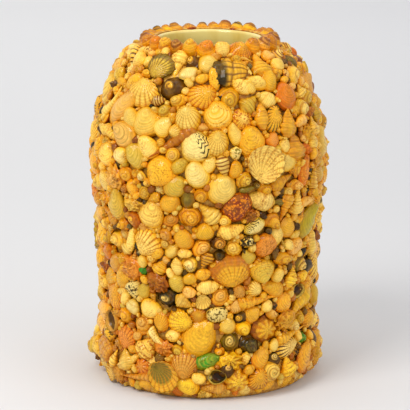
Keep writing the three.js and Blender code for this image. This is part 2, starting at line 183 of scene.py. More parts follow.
TOP_LEFT = (
    Shell(F.WHELK, 128, 51, 15, 10, 250, H.AMBER),
    Shell(F.CLAM, 139, 59, 18, 17, 85, H.HONEY),
    Shell(F.SCALLOP, 161, 65, 26, 24, 265, H.MOSS, M.HALF, H.OLIVE),
    Shell(F.BEAN, 119, 72, 16, 12, 60, H.OLIVE),
    Shell(F.CUP, 132, 68, 9, 8, 90, H.IVORY),
    Shell(F.BEAN, 134, 80, 20, 12, 215, H.GOLD),
    Shell(F.MOON, 146, 73, 9, 9, 90, H.GOLD),
    Shell(F.MOON, 152, 75, 6, 6, 90, H.CHARCOAL),
    Shell(F.SCALLOP, 143, 93, 29, 27, 88, H.HONEY, M.SOFT_RAYS, H.GOLD),
    Shell(F.TUSK, 112, 99, 34, 7, 65, H.PALE),
    Shell(F.MOON, 101, 100, 14, 14, 90, H.HONEY),
    Shell(F.BEAN, 107, 81, 13, 11, 80, H.HONEY),
    Shell(F.MUSSEL, 120, 106, 42, 20, 50, H.PINK, M.SOFT_RINGS, H.AMBER),
    Shell(F.MOON, 168, 87, 28, 25, 20, H.UMBER, M.EYE, H.AMBER),
    Shell(F.CONE, 158, 100, 13, 9, 200, H.CHESTNUT, M.RINGS, H.SAND),
    Shell(F.MOON, 152, 106, 6, 6, 0, H.CHARCOAL),
    Shell(F.CORAL, 101, 121, 14, 12, 90, H.HONEY),
    Shell(F.MOON, 113, 63, 8, 7, 90, H.PINK),
    Shell(F.MOON, 163, 110, 14, 13, 30, H.OLIVE),
    Shell(F.TOP, 177, 100, 16, 14, 180, H.HONEY),
    Shell(F.CLAM, 130, 117, 18, 18, 70, H.HONEY),
    Shell(F.CLAM, 143, 122, 28, 24, 80, H.HONEY, M.SOFT_RINGS, H.AMBER),
    Shell(F.CLAM, 163, 127, 20, 18, 60, H.PALE),
    Shell(F.COCKLE, 187, 118, 25, 25, 90, H.PALE, M.SOFT_RAYS, H.HONEY),
)
TOP_MIDDLE = (
    Shell(F.WHELK, 177, 60, 30, 17, 270, H.HONEY),
    Shell(F.TOP, 193, 60, 16, 16, 150, H.UMBER, M.TIP, H.GOLD),
    Shell(F.CLAM, 188, 72, 20, 12, 215, H.IVORY),
    Shell(F.CLAM, 207, 63, 20, 19, 90, H.PALE),
    Shell(F.BEAN, 202, 78, 14, 9, 20, H.GOLD),
    Shell(F.BEAN, 214, 79, 22, 10, 100, H.GOLD),
    Shell(F.MUREX, 231, 68, 34, 28, 0, H.CHARCOAL, M.FINGERS, H.GOLD),
    Shell(F.COCKLE, 201, 95, 30, 24, 20, H.AMBER, M.SOFT_RAYS, H.ORANGE),
    Shell(F.MOON, 230, 96, 24, 21, 230, H.GOLD, M.SOFT_RINGS, H.MOSS),
    Shell(F.MOON, 222, 99, 8, 8, 90, H.CHARCOAL),
    Shell(F.BEAN, 241, 85, 20, 12, 140, H.PALE),
    Shell(F.BEAN, 249, 86, 16, 10, 130, H.HONEY),
    Shell(F.CLAM, 217, 115, 28, 27, 100, H.HONEY, M.RINGS, H.AMBER),
    Shell(F.WHELK, 251, 101, 20, 18, 45, H.OLIVE),
)
TOP_RIGHT = (
    Shell(F.TUSK, 254, 50, 20, 6, 55, H.PALE),
    Shell(F.WHELK, 262, 61, 26, 20, 90, H.GOLD, M.SOFT_RINGS, H.AMBER),
    Shell(F.CLAM, 267, 46, 20, 12, 60, H.RUSSET),
    Shell(F.TURRET, 281, 50, 17, 7, 90, H.AMBER),
    Shell(F.BEAN, 277, 63, 13, 10, 90, H.HONEY),
    Shell(F.TOP, 291, 61, 14, 9, 130, H.MOSS, M.SOFT_RINGS, H.UMBER),
    Shell(F.MOON, 295, 75, 20, 16, 100, H.HONEY),
    Shell(F.CLAM, 257, 82, 14, 20, 80, H.HONEY),
    Shell(F.CLAM, 270, 80, 22, 16, 80, H.GOLD),
    Shell(F.CLAM, 288, 96, 27, 20, 100, H.ORANGE, M.SOFT_RINGS),
    Shell(F.WHELK, 301, 90, 14, 12, 100, H.HONEY),
    Shell(F.MOON, 309, 98, 17, 13, 100, H.OLIVE),
    Shell(F.BEAN, 269, 98, 18, 15, 135, H.PALE),
    Shell(F.BEAN, 262, 116, 26, 12, 90, H.AMBER, M.SOFT_RINGS),
    Shell(F.COCKLE, 273, 119, 25, 15, 70, H.GOLD, M.RAYS, H.MOSS),
    Shell(F.WHELK, 289, 122, 28, 15, 80, H.GOLD),
    Shell(F.CONE, 301, 121, 18, 11, 10, H.PINK),
    Shell(F.LIMPET, 243, 118, 21, 20, 270, H.HONEY, M.SPOTS),
    Shell(F.MOON, 316, 109, 8, 7, 90, H.AMBER),
)
HIGH_LEFT = (
    Shell(F.CLAM, 124, 134, 24, 22, 150, H.PINK, M.SOFT_RINGS, H.MOSS),
    Shell(F.MOUTH, 92, 149, 13, 9, 90, H.HONEY, M.HOLLOW, H.CHESTNUT),
    Shell(F.CLAM, 107, 155, 22, 18, 90, H.HONEY, M.SOFT_RINGS, H.AMBER),
    Shell(F.MOON, 118, 165, 6, 6, 90, H.CHARCOAL),
    Shell(F.CLAM, 134, 157, 24, 18, 120, H.OLIVE, M.SOFT_RINGS, H.PALE),
    Shell(F.CLAM, 148, 146, 22, 20, 130, H.PALE),
    Shell(F.TURRET, 170, 143, 50, 14, 217, H.RUSSET),
    Shell(F.TOP, 171, 155, 16, 13, 60, H.PALE, M.TIP, H.PINK),
    Shell(F.CLAM, 157, 172, 30, 28, 250, H.GOLD, M.SOFT_RINGS, H.AMBER),
    Shell(F.MOON, 141, 176, 12, 9, 90, H.IVORY),
    Shell(F.CLAM, 179, 166, 18, 13, 35, H.OLIVE, M.SOFT_SPOTS, H.MOSS),
    Shell(F.CLAM, 174, 187, 22, 20, 45, H.OLIVE, M.SOFT_RINGS, H.AMBER),
    Shell(F.TOP, 144, 193, 14, 13, 60, H.OLIVE, M.SOFT_RINGS),
    Shell(F.CLAM, 131, 187, 15, 13, 60, H.AMBER),
    Shell(F.MOON, 125, 175, 14, 13, 60, H.AMBER),
    Shell(F.MOON, 97, 183, 22, 18, 90, H.HONEY),
    Shell(F.CORAL, 114, 178, 24, 16, 90, H.PINK),
    Shell(F.BEAN, 92, 165, 12, 8, 90, H.HONEY),
    Shell(F.MOUTH, 103, 204, 10, 10, 90, H.SAND, M.HOLLOW, H.UMBER),
    Shell(F.MUSSEL, 116, 205, 32, 17, 85, H.OLIVE, M.SOFT_RINGS, H.HONEY),
    Shell(F.CORAL, 133, 205, 16, 13, 0, H.HONEY),
    Shell(F.STAR, 159, 190, 11, 11, 90, H.IVORY),
    Shell(F.CLAM, 168, 203, 21, 17, 30, H.AMBER),
)
HIGH_MIDDLE = (
    Shell(F.CLAM, 194, 147, 31, 30, 80, H.IVORY, M.ZIGZAG, H.CHARCOAL),
    Shell(F.LIMPET, 202, 127, 13, 9, 0, H.PINK),
    Shell(F.COCKLE, 217, 144, 26, 22, 80, H.HONEY),
    Shell(F.CLAM, 234, 134, 22, 14, 100, H.HONEY),
    Shell(F.CLAM, 253, 142, 30, 25, 95, H.GOLD, M.SOFT_RINGS, H.AMBER),
    Shell(F.CONE, 236, 153, 14, 12, 90, H.IVORY, M.SPOTS, H.MOSS),
    Shell(F.CLAM, 210, 165, 18, 14, 60, H.PALE),
    Shell(F.CONE, 223, 166, 22, 14, 100, H.SAND, M.RINGS, H.CHESTNUT),
    Shell(F.CLAM, 236, 170, 18, 13, 95, H.AMBER),
    Shell(F.TOP, 247, 164, 9, 8, 90, H.SAND, M.RINGS, H.CHESTNUT),
    Shell(F.CLAM, 197, 176, 26, 23, 110, H.IVORY, M.SOFT_RINGS, H.HONEY),
    Shell(F.CLAM, 223, 191, 31, 29, 75, H.PALE, M.SOFT_RINGS, H.HONEY),
    Shell(F.TOP, 245, 181, 16, 15, 60, H.OLIVE, M.SOFT_RINGS, H.HONEY),
    Shell(F.BEAN, 248, 190, 15, 7, 10, H.MOSS),
    Shell(F.LIMPET, 187, 199, 18, 15, 90, H.MOSS, M.SOFT_RAYS, H.OLIVE),
    Shell(F.MOON, 201, 196, 16, 14, 0, H.AMBER, M.SOFT_RINGS, H.CHESTNUT),
)
HIGH_RIGHT = (
    Shell(F.CUP, 266, 164, 33, 33, 250, H.PALE),
    Shell(F.CLAM, 287, 163, 16, 13, 90, H.PALE),
    Shell(F.CLAM, 273, 140, 15, 13, 60, H.CORAL),
    Shell(F.WHELK, 299, 146, 28, 19, 90, H.AMBER, M.SOFT_RINGS),
    Shell(F.CLAM, 285, 146, 14, 11, 90, H.PALE),
    Shell(F.WHELK, 315, 124, 22, 15, 90, H.HONEY),
    Shell(F.BEAN, 314, 141, 16, 12, 90, H.HONEY),
    Shell(F.WHELK, 324, 147, 13, 8, 0, H.TAN),
    Shell(F.CORAL, 317, 158, 14, 12, 90, H.PINK),
    Shell(F.TURRET, 315, 176, 24, 11, 80, H.HONEY, M.SOFT_RINGS),
    Shell(F.CLAM, 321, 182, 16, 10, 50, H.AMBER),
    Shell(F.MUSSEL, 305, 171, 30, 11, 80, H.ORANGE, M.SOFT_SPOTS, H.AMBER),
    Shell(F.MOON, 297, 171, 14, 9, 90, H.GOLD),
    Shell(F.WHELK, 283, 182, 22, 16, 20, H.GOLD, M.SOFT_RINGS),
    Shell(F.MOON, 266, 189, 12, 12, 30, H.GOLD),
    Shell(F.TOP, 258, 186, 8, 7, 90, H.CHARCOAL, M.RINGS, H.SAND),
    Shell(F.MOON, 279, 202, 12, 8, 0, H.MOSS),
    Shell(F.MOON, 289, 193, 12, 9, 90, H.HONEY),
    Shell(F.TURRET, 287, 208, 26, 12, 260, H.AMBER),
    Shell(F.TURRET, 300, 201, 24, 12, 90, H.PALE, M.SOFT_RINGS, H.AMBER),
    Shell(F.MOON, 306, 190, 6, 6, 0, H.CHARCOAL),
    Shell(F.MOON, 318, 192, 6, 5, 0, H.CHARCOAL),
    Shell(F.CORAL, 310, 200, 12, 9, 90, H.PINK),
    Shell(F.BEAN, 320, 202, 18, 9, 90, H.HONEY),
)
MIDDLE_RIGHT = (
    Shell(F.CLAM, 237, 207, 30, 26, 35, H.MAROON, M.SPOTS, H.ORANGE),
    Shell(F.CONE, 264, 203, 28, 20, 345, H.SAND, M.SOFT_SPOTS, H.CHESTNUT),
    Shell(F.CLAM, 255, 227, 22, 17, 200, H.IVORY, M.ZIGZAG, H.CHARCOAL),
    Shell(F.MOON, 247, 242, 14, 12, 0, H.CHARCOAL, M.SPOTS, H.IVORY),
    Shell(F.CONE, 232, 232, 28, 16, 200, H.HONEY),
    Shell(F.TOP, 219, 244, 16, 16, 90, H.UMBER, M.HALF, H.TAN),
    Shell(F.MOON, 219, 257, 12, 11, 90, H.CHARCOAL),
    Shell(F.TOP, 234, 250, 17, 17, 90, H.HONEY),
    Shell(F.CLAM, 266, 246, 24, 22, 100, H.CORAL, M.SPOTS),
    Shell(F.CLAM, 276, 236, 18, 14, 60, H.PALE),
    Shell(F.MOON, 273, 221, 15, 14, 300, H.AMBER),
    Shell(F.CLAM, 288, 227, 20, 13, 85, H.AMBER),
    Shell(F.MUSSEL, 309, 221, 34, 19, 60, H.LIME),
    Shell(F.CLAM, 296, 246, 18, 15, 100, H.PINK),
    Shell(F.BEAN, 288, 245, 11, 9, 80, H.PALE),
    Shell(F.MOON, 303, 252, 9, 7, 60, H.CHARCOAL),
    Shell(F.BEAN, 313, 243, 28, 12, 90, H.HONEY),
    Shell(F.CLAM, 248, 258, 16, 14, 110, H.OLIVE),
    Shell(F.MOON, 283, 259, 14, 13, 0, H.GOLD),
    Shell(F.TOP, 302, 264, 15, 15, 200, H.MOSS, M.HALF, H.SAND),
    Shell(F.BEAN, 317, 266, 14, 11, 90, H.OLIVE),
    Shell(F.LIMPET, 321, 282, 13, 8, 60, H.MOSS),
    Shell(F.BEAN, 308, 281, 14, 12, 100, H.AMBER),
    Shell(F.CLAM, 265, 271, 24, 23, 265, H.OLIVE, M.SOFT_RINGS, H.GOLD),
    Shell(F.BEAN, 278, 275, 14, 10, 70, H.HONEY),
    Shell(F.WHELK, 292, 277, 22, 13, 80, H.YELLOW),
    Shell(F.MOUTH, 297, 290, 12, 12, 90, H.OLIVE, M.HOLLOW, H.UMBER),
    Shell(F.CLAM, 274, 289, 21, 16, 160, H.GOLD, M.SOFT_RINGS, H.ORANGE),
)
MIDDLE_LEFT = (
    Shell(F.TOP, 188, 219, 26, 25, 350, H.AMBER, M.SOFT_SPOTS, H.CHESTNUT),
    Shell(F.WHELK, 209, 215, 27, 19, 135, H.HONEY),
    Shell(F.CLAM, 183, 239, 22, 18, 110, H.AMBER),
    Shell(F.BEAN, 205, 233, 19, 15, 30, H.GOLD),
    Shell(F.TOP, 201, 250, 20, 17, 40, H.PINK),
    Shell(F.MOON, 165, 235, 13, 13, 0, H.TAN),
    Shell(F.TOP, 170, 221, 15, 12, 30, H.TAN),
    Shell(F.CLAM, 151, 216, 28, 24, 80, H.HONEY, M.SOFT_RINGS),
    Shell(F.SCALLOP, 147, 243, 26, 25, 240, H.PALE, M.SOFT_RAYS),
    Shell(F.MOON, 133, 221, 16, 14, 60, H.RUSSET, M.TIP, H.GOLD),
    Shell(F.TOP, 114, 242, 20, 20, 90, H.HONEY),
    Shell(F.BEAN, 98, 236, 12, 10, 90, H.HONEY),
    Shell(F.MOON, 105, 224, 13, 12, 90, H.PALE),
    Shell(F.WHELK, 126, 250, 16, 10, 240, H.PALE),
    Shell(F.BEAN, 131, 240, 24, 8, 85, H.PALE),
    Shell(F.COCKLE, 107, 257, 12, 8, 60, H.RUSSET),
    Shell(F.TOP, 106, 266, 14, 10, 60, H.MAROON, M.SOFT_RINGS, H.PINK),
    Shell(F.CLAM, 116, 263, 20, 13, 90, H.TAN),
    Shell(F.CORAL, 131, 268, 22, 19, 60, H.CORAL, M.SOFT_SPOTS, H.AMBER),
    Shell(F.BEAN, 143, 261, 11, 10, 60, H.HONEY),
    Shell(F.MOON, 143, 270, 10, 9, 90, H.EMERALD),
    Shell(F.WHELK, 160, 267, 19, 14, 60, H.GOLD),
    Shell(F.BEAN, 158, 254, 12, 10, 30, H.GOLD),
    Shell(F.CLAM, 172, 252, 15, 13, 60, H.HONEY),
    Shell(F.BEAN, 185, 254, 13, 10, 0, H.HONEY),
    Shell(F.BEAN, 176, 267, 17, 11, 90, H.PALE),
    Shell(F.MOON, 189, 266, 16, 15, 315, H.IVORY, M.ZIGZAG, H.CHARCOAL),
    Shell(F.WHELK, 206, 262, 17, 12, 250, H.AMBER, M.RINGS, H.CHESTNUT),
    Shell(F.BEAN, 204, 275, 16, 11, 20, H.AMBER),
    Shell(F.BEAN, 190, 279, 14, 11, 0, H.GOLD),
    Shell(F.BEAN, 176, 284, 18, 14, 120, H.OLIVE),
    Shell(F.CORAL, 157, 282, 22, 17, 330, H.RUSSET),
    Shell(F.CONE, 131, 290, 20, 15, 110, H.IVORY, M.SPOTS, H.CHARCOAL),
    Shell(F.CLAM, 144, 291, 17, 13, 90, H.OLIVE),
    Shell(F.TOP, 165, 299, 24, 24, 90, H.CHARCOAL, M.EYE, H.SAND),
    Shell(F.MOON, 104, 282, 15, 14, 90, H.HONEY),
    Shell(F.SCALLOP, 115, 296, 24, 20, 70, H.AMBER, M.SOFT_RAYS, H.ORANGE),
    Shell(F.BEAN, 209, 288, 22, 14, 10, H.PALE),
    Shell(F.CUP, 203, 301, 14, 13, 90, H.HONEY),
    Shell(F.BEAN, 190, 292, 14, 12, 0, H.PINK),
    Shell(F.WHELK, 183, 302, 18, 14, 330, H.HONEY),
)
LOW_MIDDLE = (
    Shell(F.SCALLOP, 233, 272, 33, 41, 270, H.GOLD, M.BAND),
    Shell(F.COCKLE, 255, 288, 16, 14, 300, H.PALE, M.SOFT_RAYS, H.TAN),
    Shell(F.TOP, 220, 298, 19, 16, 60, H.PINK),
    Shell(F.COCKLE, 239, 292, 14, 13, 90, H.TAN),
    Shell(F.TURRET, 258, 301, 34, 12, 5, H.GOLD),
    Shell(F.CLAM, 284, 303, 18, 17, 60, H.AMBER, M.SOFT_RINGS, H.ORANGE),
    Shell(F.WHELK, 304, 301, 34, 18, 215, H.YELLOW),
    Shell(F.COCKLE, 235, 307, 14, 12, 90, H.PINK),
    Shell(F.BEAN, 217, 316, 21, 14, 10, H.IVORY, M.SPOTS, H.CHARCOAL),
    Shell(F.CLAM, 253, 315, 18, 16, 45, H.AMBER),
    Shell(F.BEAN, 267, 307, 12, 10, 90, H.PALE),
    Shell(F.TOP, 241, 318, 12, 12, 180, H.CHARCOAL, M.TIP, H.GOLD),
    Shell(F.CLAM, 228, 326, 18, 16, 90, H.HONEY),
    Shell(F.MOON, 244, 329, 15, 15, 60, H.YELLOW),
    Shell(F.STAR, 266, 330, 25, 24, 90, H.GOLD, M.BAND, H.CHESTNUT),
    Shell(F.CORAL, 286, 320, 19, 16, 30, H.AMBER),
    Shell(F.COCKLE, 308, 319, 18, 17, 90, H.GOLD),
    Shell(F.TURRET, 292, 334, 30, 10, 12, H.GOLD),
    Shell(F.BEAN, 274, 345, 12, 9, 70, H.PALE),
    Shell(F.MOON, 302, 338, 12, 10, 90, H.EMERALD, M.SOFT_SPOTS, H.LIME),
    Shell(F.BEAN, 312, 337, 16, 8, 110, H.UMBER),
    Shell(F.CORAL, 318, 326, 14, 10, 90, H.MAROON),
)
LOW_LEFT = (
    Shell(F.BEAN, 132, 307, 14, 12, 90, H.IVORY),
    Shell(F.CLAM, 149, 309, 19, 17, 90, H.PALE),
    Shell(F.MOUTH, 113, 320, 18, 14, 70, H.TAN, M.HOLLOW, H.UMBER),
    Shell(F.MOON, 124, 316, 14, 14, 60, H.AMBER),
    Shell(F.TOP, 140, 325, 19, 18, 60, H.PINK),
    Shell(F.COCKLE, 161, 321, 20, 16, 280, H.AMBER),
    Shell(F.SCALLOP, 180, 321, 22, 22, 350, H.YELLOW, M.SOFT_RAYS, H.HONEY),
    Shell(F.SCALLOP, 126, 337, 22, 18, 260, H.CORAL, M.SOFT_RAYS),
    Shell(F.WHELK, 144, 347, 28, 20, 60, H.HONEY, M.SPOTS),
    Shell(F.TUSK, 160, 337, 24, 8, 320, H.IVORY),
    Shell(F.CLAM, 173, 336, 15, 13, 200, H.PALE),
    Shell(F.CORAL, 164, 348, 17, 15, 0, H.CORAL),
    Shell(F.MOON, 177, 350, 11, 11, 180, H.OLIVE),
    Shell(F.LIMPET, 198, 316, 18, 15, 120, H.AMBER),
    Shell(F.CLAM, 201, 340, 40, 31, 60, H.GOLD, M.SOFT_SPOTS, H.YELLOW),
    Shell(F.SCALLOP, 183, 364, 27, 26, 270, H.TAN, M.SOFT_RAYS),
    Shell(F.MUSSEL, 207, 361, 25, 15, 20, H.EMERALD, M.SOFT_RINGS, H.LIME),
    Shell(F.WHELK, 124, 359, 20, 14, 110, H.PALE),
    Shell(F.STAR, 142, 367, 16, 14, 90, H.CORAL),
    Shell(F.CUP, 163, 376, 29, 26, 130, H.AMBER, M.HALF, H.MOSS),
    Shell(F.TURRET, 135, 378, 27, 10, 190, H.TAN),
    Shell(F.CLAM, 187, 387, 23, 17, 150, H.YELLOW),
    Shell(F.BEAN, 199, 379, 15, 10, 0, H.HONEY),
    Shell(F.MUREX, 103, 346, 25, 20, 160, H.TAN),
    Shell(F.CORAL, 117, 373, 18, 13, 120, H.TAN),
)
LOW_RIGHT = (
    Shell(F.TOP, 231, 344, 21, 21, 90, H.MOSS, M.TIP, H.SAND),
    Shell(F.MOON, 251, 345, 21, 19, 260, H.CHARCOAL, M.SOFT_SPOTS, H.MOSS),
    Shell(F.CLAM, 262, 359, 23, 17, 60, H.AMBER, M.SOFT_RINGS, H.ORANGE),
    Shell(F.COCKLE, 287, 347, 22, 18, 20, H.SAND, M.RAYS, H.UMBER),
    Shell(F.TOP, 275, 358, 14, 11, 90, H.CHARCOAL, M.TIP, H.SAND),
    Shell(F.MUSSEL, 305, 357, 28, 16, 70, H.AMBER, M.SOFT_RINGS),
    Shell(F.COCKLE, 316, 352, 26, 12, 90, H.GOLD),
    Shell(F.WHELK, 290, 367, 20, 16, 100, H.YELLOW),
    Shell(F.MOON, 274, 374, 22, 20, 90, H.HONEY, M.SOFT_RINGS, H.UMBER),
    Shell(F.CORAL, 230, 361, 23, 16, 0, H.YELLOW),
    Shell(F.BEAN, 249, 369, 12, 9, 30, H.AMBER),
    Shell(F.MOON, 227, 370, 15, 15, 90, H.UMBER, M.EYE, H.PINK),
    Shell(F.MOUTH, 218, 377, 16, 13, 0, H.OLIVE, M.HOLLOW, H.CHARCOAL),
    Shell(F.STAR, 238, 383, 24, 24, 40, H.YELLOW, M.SOFT_RINGS, H.HONEY),
    Shell(F.COCKLE, 259, 381, 22, 18, 90, H.AMBER, M.SOFT_RAYS, H.CHESTNUT),
    Shell(F.CUP, 296, 373, 10, 8, 120, H.SAND),
    Shell(F.CONE, 214, 390, 24, 12, 0, H.TAN, M.SOFT_RINGS, H.AMBER),
    Shell(F.BEAN, 236, 395, 8, 6, 90, H.ORANGE),
)
READ_SHELLS = (
    TOP_LEFT + TOP_MIDDLE + TOP_RIGHT + HIGH_LEFT + HIGH_MIDDLE + HIGH_RIGHT
    + MIDDLE_LEFT + MIDDLE_RIGHT + LOW_MIDDLE + LOW_LEFT + LOW_RIGHT
)


class RimShell(NamedTuple):
    """One shell of the rim: kind, angle in degrees, width and height in mm, and its looks."""

    form: Form
    angle: float
    width: float
    height: float
    hue: Hue
    mark: Mark = Mark.PLAIN
    second: Hue = Hue.SAND


RIM_SHELLS = (
    RimShell(F.WINKLE, -71, 15, 12, H.GOLD, M.CAP, H.RUSSET),
    RimShell(F.WINKLE, -57, 14, 12, H.AMBER, M.CAP, H.ORANGE),
    RimShell(F.WINKLE, -43, 14, 12, H.GOLD, M.SOFT_RINGS, H.RUSSET),
    RimShell(F.WINKLE, -31, 12, 12, H.PINK, M.CAP, H.CHESTNUT),
    RimShell(F.WINKLE, -17, 15, 13, H.GOLD, M.SOFT_RINGS, H.AMBER),
    RimShell(F.WINKLE, -3, 17, 13, H.GOLD, M.CAP, H.ORANGE),
    RimShell(F.BEAN, 11, 15, 14, H.PALE),
    RimShell(F.LIMPET, 27, 20, 12, H.AMBER, M.SOFT_RINGS, H.RUSSET),
    RimShell(F.WINKLE, 42, 14, 12, H.GOLD, M.CAP, H.RUSSET),
    RimShell(F.WINKLE, 56, 14, 12, H.PINK, M.CAP, H.CHESTNUT),
    RimShell(F.WINKLE, 69, 15, 12, H.AMBER, M.CAP, H.RUSSET),
    RimShell(F.WINKLE, 83, 15, 12, H.GOLD, M.CAP, H.CHESTNUT),
    RimShell(F.LIMPET, 97, 16, 12, H.TAN, M.SOFT_RINGS, H.RUSSET),
    RimShell(F.WINKLE, 111, 15, 12, H.YELLOW, M.CAP, H.RUSSET),
    RimShell(F.LIMPET, 125, 17, 12, H.GOLD, M.CAP, H.RUSSET),
    RimShell(F.WINKLE, 141, 16, 12, H.YELLOW, M.CAP, H.CHESTNUT),
    RimShell(F.WINKLE, 154, 15, 12, H.YELLOW, M.CAP, H.UMBER),
    RimShell(F.WINKLE, 166, 15, 13, H.GOLD, M.CAP, H.CHESTNUT),
    RimShell(F.WINKLE, 177, 13, 12, H.YELLOW, M.CAP, H.RUSSET),
    RimShell(F.WINKLE, 187, 13, 12, H.GOLD, M.CAP, H.UMBER),
    RimShell(F.LIMPET, 200, 18, 12, H.YELLOW, M.CAP, H.CHESTNUT),
    RimShell(F.WINKLE, 214, 15, 12, H.GOLD, M.CAP, H.CHESTNUT),
    RimShell(F.WINKLE, 225, 13, 11, H.YELLOW, M.CAP, H.RUSSET),
    RimShell(F.WINKLE, 236, 14, 11, H.GOLD, M.CAP, H.UMBER),
    RimShell(F.LIMPET, 249, 15, 11, H.YELLOW, M.CAP, H.RUSSET),
    RimShell(F.WINKLE, 262, 14, 11, H.GOLD, M.CAP, H.RUSSET),
    RimShell(F.WINKLE, 275, 14, 11, H.TAN, M.CAP, H.CHESTNUT),
)


@dataclass(frozen=True)
class PhotoView:
    """The camera of the photograph, from the object's own size and the frame of 410 pixels."""

    frame: float = 410.0
    focal: float = 2164.0
    distance: float = 2013 * MM
    height: float = 650 * MM
    aside: float = -3.2 * MM
    pitch: float = math.radians(13.63)
    roll: float = math.radians(0.4)
    sensor: float = 36.0

    @property
    def eye(self) -> Vector:
        """Place of the lens."""
        return Vector((self.aside, -self.distance, self.height))

    @property
    def turned(self) -> Matrix:
        """Directions of the camera: its columns are right, up and backwards."""
        level = Matrix.Rotation(math.pi / 2 - self.pitch, 3, "X")
        return level @ Matrix.Rotation(self.roll, 3, "Z")

    def ray(self, x: float, y: float) -> Vector:
        """Direction in which a pixel looks.

        Args:
            x: pixel from the left.
            y: pixel from the top.

        Returns:
            A unit vector.
        """
        half = self.frame / 2
        return (self.turned @ Vector((x - half, half - y, -self.focal))).normalized()

    def add_camera(self) -> None:
        """Make the camera and hand it to the scene."""
        data = bpy.data.cameras.new("photo_camera")
        data.sensor_width = self.sensor
        data.lens = self.focal / self.frame * self.sensor
        data.clip_start = 0.1
        data.clip_end = 30.0
        camera = bpy.data.objects.new("photo_camera", data)
        camera.matrix_world = Matrix.Translation(self.eye) @ self.turned.to_4x4()
        bpy.context.scene.collection.objects.link(camera)
        bpy.context.scene.camera = camera


class Seat(NamedTuple):
    """A place on the putty bed with its directions."""

    point: Vector
    across: Vector
    up: Vector
    normal: Vector


@dataclass(frozen=True)
class JarSizes:
    """Sizes of the jar under the shells."""

    height: float = 324 * MM
    radius: float = 90 * MM
    wall: float = 5 * MM
    floor: float = 8 * MM
    mouth: float = 47.5 * MM
    neck_length: float = 26 * MM
    shoulder_rise: float = 36 * MM
    foot_round: float = 8 * MM

    @property
    def neck(self) -> float:
        """Outer radius of the neck."""
        return self.mouth + self.wall

    @property
    def body_top(self) -> float:
        """Height at which the straight body ends."""
        return self.height - self.neck_length - self.shoulder_rise


